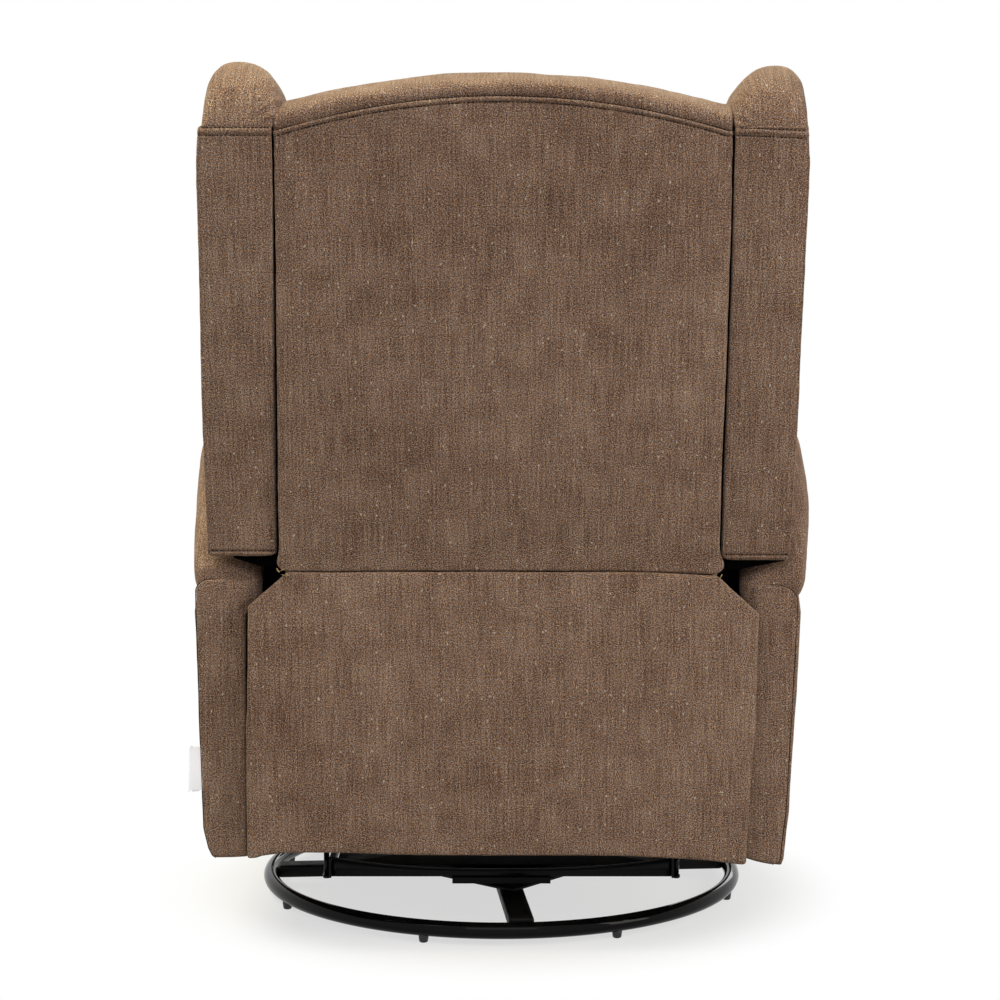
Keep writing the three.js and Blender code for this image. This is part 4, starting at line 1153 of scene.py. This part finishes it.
def wing_sides(side, z):
    """Inner and outer faces at a height: splayed below, drawn in to the crest above"""
    inside, outside = (float(np.interp(z, wing_z, edge[side])) for edge in (wing_in, wing_out))
    if z <= wing_band:
        return inside, outside
    over = min((z - wing_band) / (wing_crown[side] - wing_band), 1)
    crest = wing_crest[side]
    step_in = max(0, 1 - (z - wing_band) / 0.0024)
    wide, (full, bend, deep, fall, curl) = 0.0316, wing_dome[side]
    outer = crest + wide * (1 - over ** full) ** bend + (outside - crest - wide) * step_in
    inner = crest - deep * (1 - over ** fall) ** curl
    inner += (deep - crest + inside) * max(0, 1 - over / 0.14)
    return min(inner, crest - 0.001), max(outer, crest + 0.001)


def band_line(side, x):
    """Height of the cap's seam, which falls a little outwards on one side"""
    return wing_band - 0.0006 - (0.0034 * max(0, x - 0.259) / 0.084 if side < 0 else 0)


def wing_relief(side, x, z, in_x, out_x, behind):
    """The rear face's crown less the grooves of its seams and hem"""
    across = unit((x - in_x) / (out_x - in_x))
    relief = 0.0024 * math.sin(math.pi * across) if z < wing_band and behind > 0.9 else 0
    band, low_band = band_line(side, x), band_line(side, x) - band_wide
    relief -= (0.0019 * groove(z - band, 0.0013) + 0.0022 * groove(z - low_band, 0.0013)) * behind
    relief += 0.0011 * groove(z - (band + low_band) / 2, 0.003) * behind
    relief -= 0.0027 * groove(z - wing_foot[side] - 0.0066, 0.0014)
    relief += 0.0012 * groove(z - wing_foot[side] - 0.0030, 0.0024)
    relief += 0.0005 * math.sin(x * 1100 + z * 300) * groove(z - low_band, 0.004) * behind
    over = z - wing_band
    if over > 0:
        crease = math.exp(-((x - in_x) / 0.026) ** 2) * math.exp(-((over - 0.028) / 0.022) ** 2)
        relief += 0.0022 * crease * math.sin(over * 420 + (x - in_x) * 260)
    return relief


def wing_rings(side):
    foot, crown = wing_foot[side], wing_crown[side]
    stops = spaced(foot, wing_band - 0.016, 0.0055, [(foot, foot + 0.012, 0.001)])
    stops += spaced(wing_band - 0.015, wing_band + 0.014, 0.0009)
    start = wing_band + 0.014
    rise = crown - 0.0003 - start
    stops += [start + rise * math.sin(math.pi / 2 * k / 34) for k in range(1, 35)]
    rings = []
    for z in stops:
        rear = wing_rear_y(side, z)
        over = max(0, (z - wing_band) / (crown - wing_band))
        front = min(float(np.interp(z + (1.0535 - crown) * over, front_z, front_y)), rear - 0.002)
        in_x, out_x = wing_sides(side, z)
        tuck = 0.0055 * quarter((z - foot) / 0.0055)
        inner_tuck = 0.0110 * quarter((z - foot) / 0.0110)
        rear_round = 0.0050 + 0.022 * min(1, over * 2.0) ** 0.8
        front_round = min(0.042, max(0.002, (rear - front) / 2))
        radii = [rear_round, front_round, front_round, 0.0030 + rear_round - 0.0050]
        ring = rounded_rectangle(in_x + inner_tuck, out_x - tuck, front + tuck, rear - tuck,
                                 radii, (34, 34, 6, 34), 8)
        points = []
        for x, y in ring:
            behind = unit((y - 0.28) / 0.12) if z > 0.9 else 1
            relief = wing_relief(side, x, z, in_x, out_x, behind)
            if y > rear - 0.009 - 0.5 * rear_round * over:
                y += relief
            else:
                outward = 1 if x > (in_x + out_x) / 2 else -1
                x += relief * (0.3 if over > 0.02 else 1) * outward
            points.append((side * x, y, z))
        rings.append(points)
    return rings


hem_up, welt_radius, strip_round = 0.0066, 0.0017, [0.0003] * 4
flap_corner = {1: (0.287, 0.4645, 0.316, 0.4735), -1: (0.280, 0.4600, 0.334, 0.4700)}
flap_inner, flap_over = 0.265, 0.0080
for word, side in sides:
    feels = ((0.0009, 0.09, 41 + side), (0.0004, 0.014, 45 + side))
    covered(f"wing_cover_{word}", lofted(wing_rings(side)), f"wing_{word}", "backrest", feels,
            back_lean, 0.11 * side)
    rows = []
    for row in range(3):
        in_x, out_x = wing_sides(side, wing_foot[side] if row == 2 else wing_band)
        path = []
        for k in range(31):
            x = in_x + 0.004 + (out_x - in_x - 0.0075) * k / 30
            z = wing_foot[side] + hem_up if row == 2 else band_line(side, x) - band_wide * row
            y = wing_rear_y(side, z)
            point = Vector((side * x, y + wing_relief(side, x, z, in_x, out_x, 1), z))
            path.append(point + Vector((0, unevenness(point, feels), 0)))
        rows.append(stitched(path, [Vector((0, 1, 0))] * 31))
    mesh_piece(f"wing_seam_thread_{word}", *joined(*rows), dark_thread_and_seam_shade, "chenille", "backrest")

    # The welt, piped with the same cloth
    path = []
    for k in range(60):
        z = wing_foot[side] + 0.004 + (wing_band - band_wide - 0.006 - wing_foot[side]) * k / 59
        path.append((side * (wing_sides(side, z)[1] - 0.0022), wing_rear_y(side, z) - 0.0016, z))
    welt = mesh_piece(f"wing_welt_{word}", *tube(path, welt_radius, 10), chenille, "chenille",
                      "backrest")
    settle(welt, feels)
    lay_weave(welt, back_lean)

    # Black sheets of painted shade in the gap beside the centre back and under the wing's foot
    rings = []
    for k in range(61):
        up = 0.006 + 0.496 * k / 60
        x = side * float(np.interp(up, gap_up, gap_x[side]))
        ring = rounded_rectangle(x - 0.0006, x + 0.0006, 0.0018, 0.0158, strip_round,
                                 (0, 6, 0, 6), 2)
        rings.append([on_back(a, forward, up) for a, forward in ring])
    gap_painted_shade_sheet = black_cloth(f"gap_painted_shade_sheet_{word}", lofted(rings), "backrest")
    # Painted shade under the wing's foot, darkening the pad that runs forward beneath it
    rings = []
    low_x, low_z, far_x, far_z = flap_corner[side]
    top = wing_foot[side] + flap_over
    for k in range(25):
        x = flap_inner + (far_x - flap_inner) * k / 24
        low = low_z + (far_z - low_z) * max(0, x - low_x) / (far_x - low_x)
        ring = rounded_rectangle(0.3372, 0.3380, low, top, strip_round, (0, 6, 0, 6), 2)
        rings.append([(side * x, y, z) for y, z in ring])
    flap = black_cloth(f"wing_foot_painted_shade_sheet_{word}", lofted(rings), "backrest")


# ---------------------------------------------------------------- cushions
# Foam blocks in sewn chenille cases, piped round their edges: the seat, the two of the
# back and the footrest pad.
def pillow(half, power, levels, count, rim):
    """A closed, boxy cushion form about its centre"""
    rings = []
    for level in range(1, levels):
        rise = math.pi * (level / levels - 0.5)
        reach, up = abs(math.cos(rise)) ** rim, half[2] * boxy(math.sin(rise), rim)
        rings.append([(half[0] * reach * boxy(c, power), half[1] * reach * boxy(s, power), up)
                      for c, s in around(count)])
    return lofted(rings)


def with_modifiers(piece):
    """The piece's mesh as its modifiers leave it"""
    depsgraph = bpy.context.evaluated_depsgraph_get()
    mesh = bpy.data.meshes.new_from_object(piece.evaluated_get(depsgraph))
    piece.modifiers.clear()
    return mesh


def stuffed(name, half, room, place, turn, body, node, cap, seed, welts, lean=0.0):
    """A cushion case blown up by cloth simulation, kept in its room, then piped"""
    piece = mesh_piece(name, *pillow(half, 0.30, 26, 96, 0.42), chenille, "chenille")
    remesh = piece.modifiers.new("remesh", "REMESH")
    remesh.mode = "VOXEL"
    remesh.voxel_size = 0.006
    mesh = with_modifiers(piece)
    piece.data = mesh
    shape = np.array([v.co for v in mesh.vertices])
    cloth = piece.modifiers.new("cloth", "CLOTH")
    cloth.settings.use_pressure = True
    cloth.settings.uniform_pressure_force = 4
    cloth.settings.effector_weights.gravity = 0
    cloth.settings.quality = 4
    for frame_number in range(1, 21):
        scene.frame_set(frame_number)
    blown = with_modifiers(piece)
    move = np.array([v.co for v in blown.vertices]) - shape
    scene.frame_set(1)
    bpy.data.meshes.remove(blown)
    far = np.linalg.norm(move, axis=1)
    shape = shape + move * np.minimum(1, cap / np.maximum(far, 1e-9))[:, None]
    for axis in range(3):
        shape[:, axis] = np.clip(shape[:, axis], -room[axis], room[axis] if axis < 2 else 1)
    for vertex, co in zip(mesh.vertices, shape):
        vertex.co = co
    mesh.update()
    tree = BVHTree.FromObject(piece, bpy.context.evaluated_depsgraph_get())
    skins = []
    for height in welts:
        path = [tree.find_nearest(Vector((room[0] * 1.12 * boxy(c, 0.34),
                                          room[1] * 1.12 * boxy(s, 0.34), height)))[0]
                for c, s in around(200)]
        path = [(path[k - 1] + path[k] * 2 + path[(k + 1) % 200]) / 4 for k in range(200)]
        skins.append(tube(path, 0.0030, 10, True))
    set_down = Matrix.Translation(place) @ turn
    mesh.transform(set_down)
    mesh.update()
    mesh.shade_smooth()
    smooth = piece.modifiers.new("smooth", "SUBSURF")
    smooth.levels = smooth.render_levels = 1
    settle(piece, ((0.0020, 0.09, seed), (0.0006, 0.02, seed + 5)))
    lay_weave(piece, lean)
    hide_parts(node)
    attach(piece, body)
    points, faces = joined(*skins)
    piping = mesh_piece(f"{name}_piping", [set_down @ Vector(p) for p in points], faces,
                        chenille, "chenille", body)
    lay_weave(piping, lean)


# The front rail and the footrest board are wrapped in the same cloth over thin wadding,
# black cambric lies over the springs, and cloth is drawn over the back frame's front.
for name, node, body in (("front_rail_wrap", "seat_rail_front", "seat_base"),
                         ("footrest_board_wrap", "footrest_board", "footrest")):
    low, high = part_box(node)
    skin = rounded_block(low - Vector((0.0006, 0.0012, 0.0012)),
                         high + Vector((0.0006, 0.0012, 0.0010)), 0.0030, 4)
    wrap = mesh_piece(name, *skin, chenille, "chenille", body)
    lay_weave(wrap)
low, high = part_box("seat_rail_front")
decking = black_cloth("seat_decking", rounded_block(
    (-0.2300, low.y + 0.001, 0.3921), (0.2300, 0.2440, 0.3925), 0.0002))
points, faces = rounded_block((-0.2520, 0.0, 0.0), (0.2520, 0.4900, 0.0009), 0.0004)
inner_back = mesh_piece("inside_back_cloth", [on_back(x, 0.0362 + z, y) for x, y, z in points],
                        faces, chenille, "chenille", "backrest")
lay_weave(inner_back, back_lean)

# Each: half sizes, the room it has, where it lies, how it is turned, body, frame's node,
# how far the cloth may move, seed, the heights of its piping
upright = Matrix.Rotation(math.pi / 2, 4, "X")
on_lean = Matrix.Rotation(-back_lean, 4, "X") @ upright
back_front = 0.0366
stuffed("seat_cushion_case", (0.266, 0.291, 0.038), (0.2745, 0.299, 0.0445),
        Vector((0, -0.1075, 0.4372)), Matrix.Identity(4), "seat_base", "seat_cushion",
        0.024, 51, (0.022, -0.024))
stuffed("footrest_pad_case", (0.269, 0.121, 0.029), (0.278, 0.1285, 0.0300),
        Vector((0, -0.4065, 0.2535)), upright, "footrest", "footrest_pad", 0.012, 52, (0.010,))
stuffed("upper_back_case", (0.243, 0.109, 0.053), (0.2500, 0.1155, 0.0560),
        on_back(0, back_front + 0.0565, 0.377), on_lean, "backrest", "upper_back_cushion",
        0.020, 53, (0.026,), back_lean)
stuffed("lumbar_case", (0.226, 0.118, 0.076), (0.2335, 0.1255, 0.0790),
        on_back(0, back_front + 0.0795, 0.131), on_lean, "backrest", "lumbar_cushion",
        0.020, 54, (0.044,), back_lean)
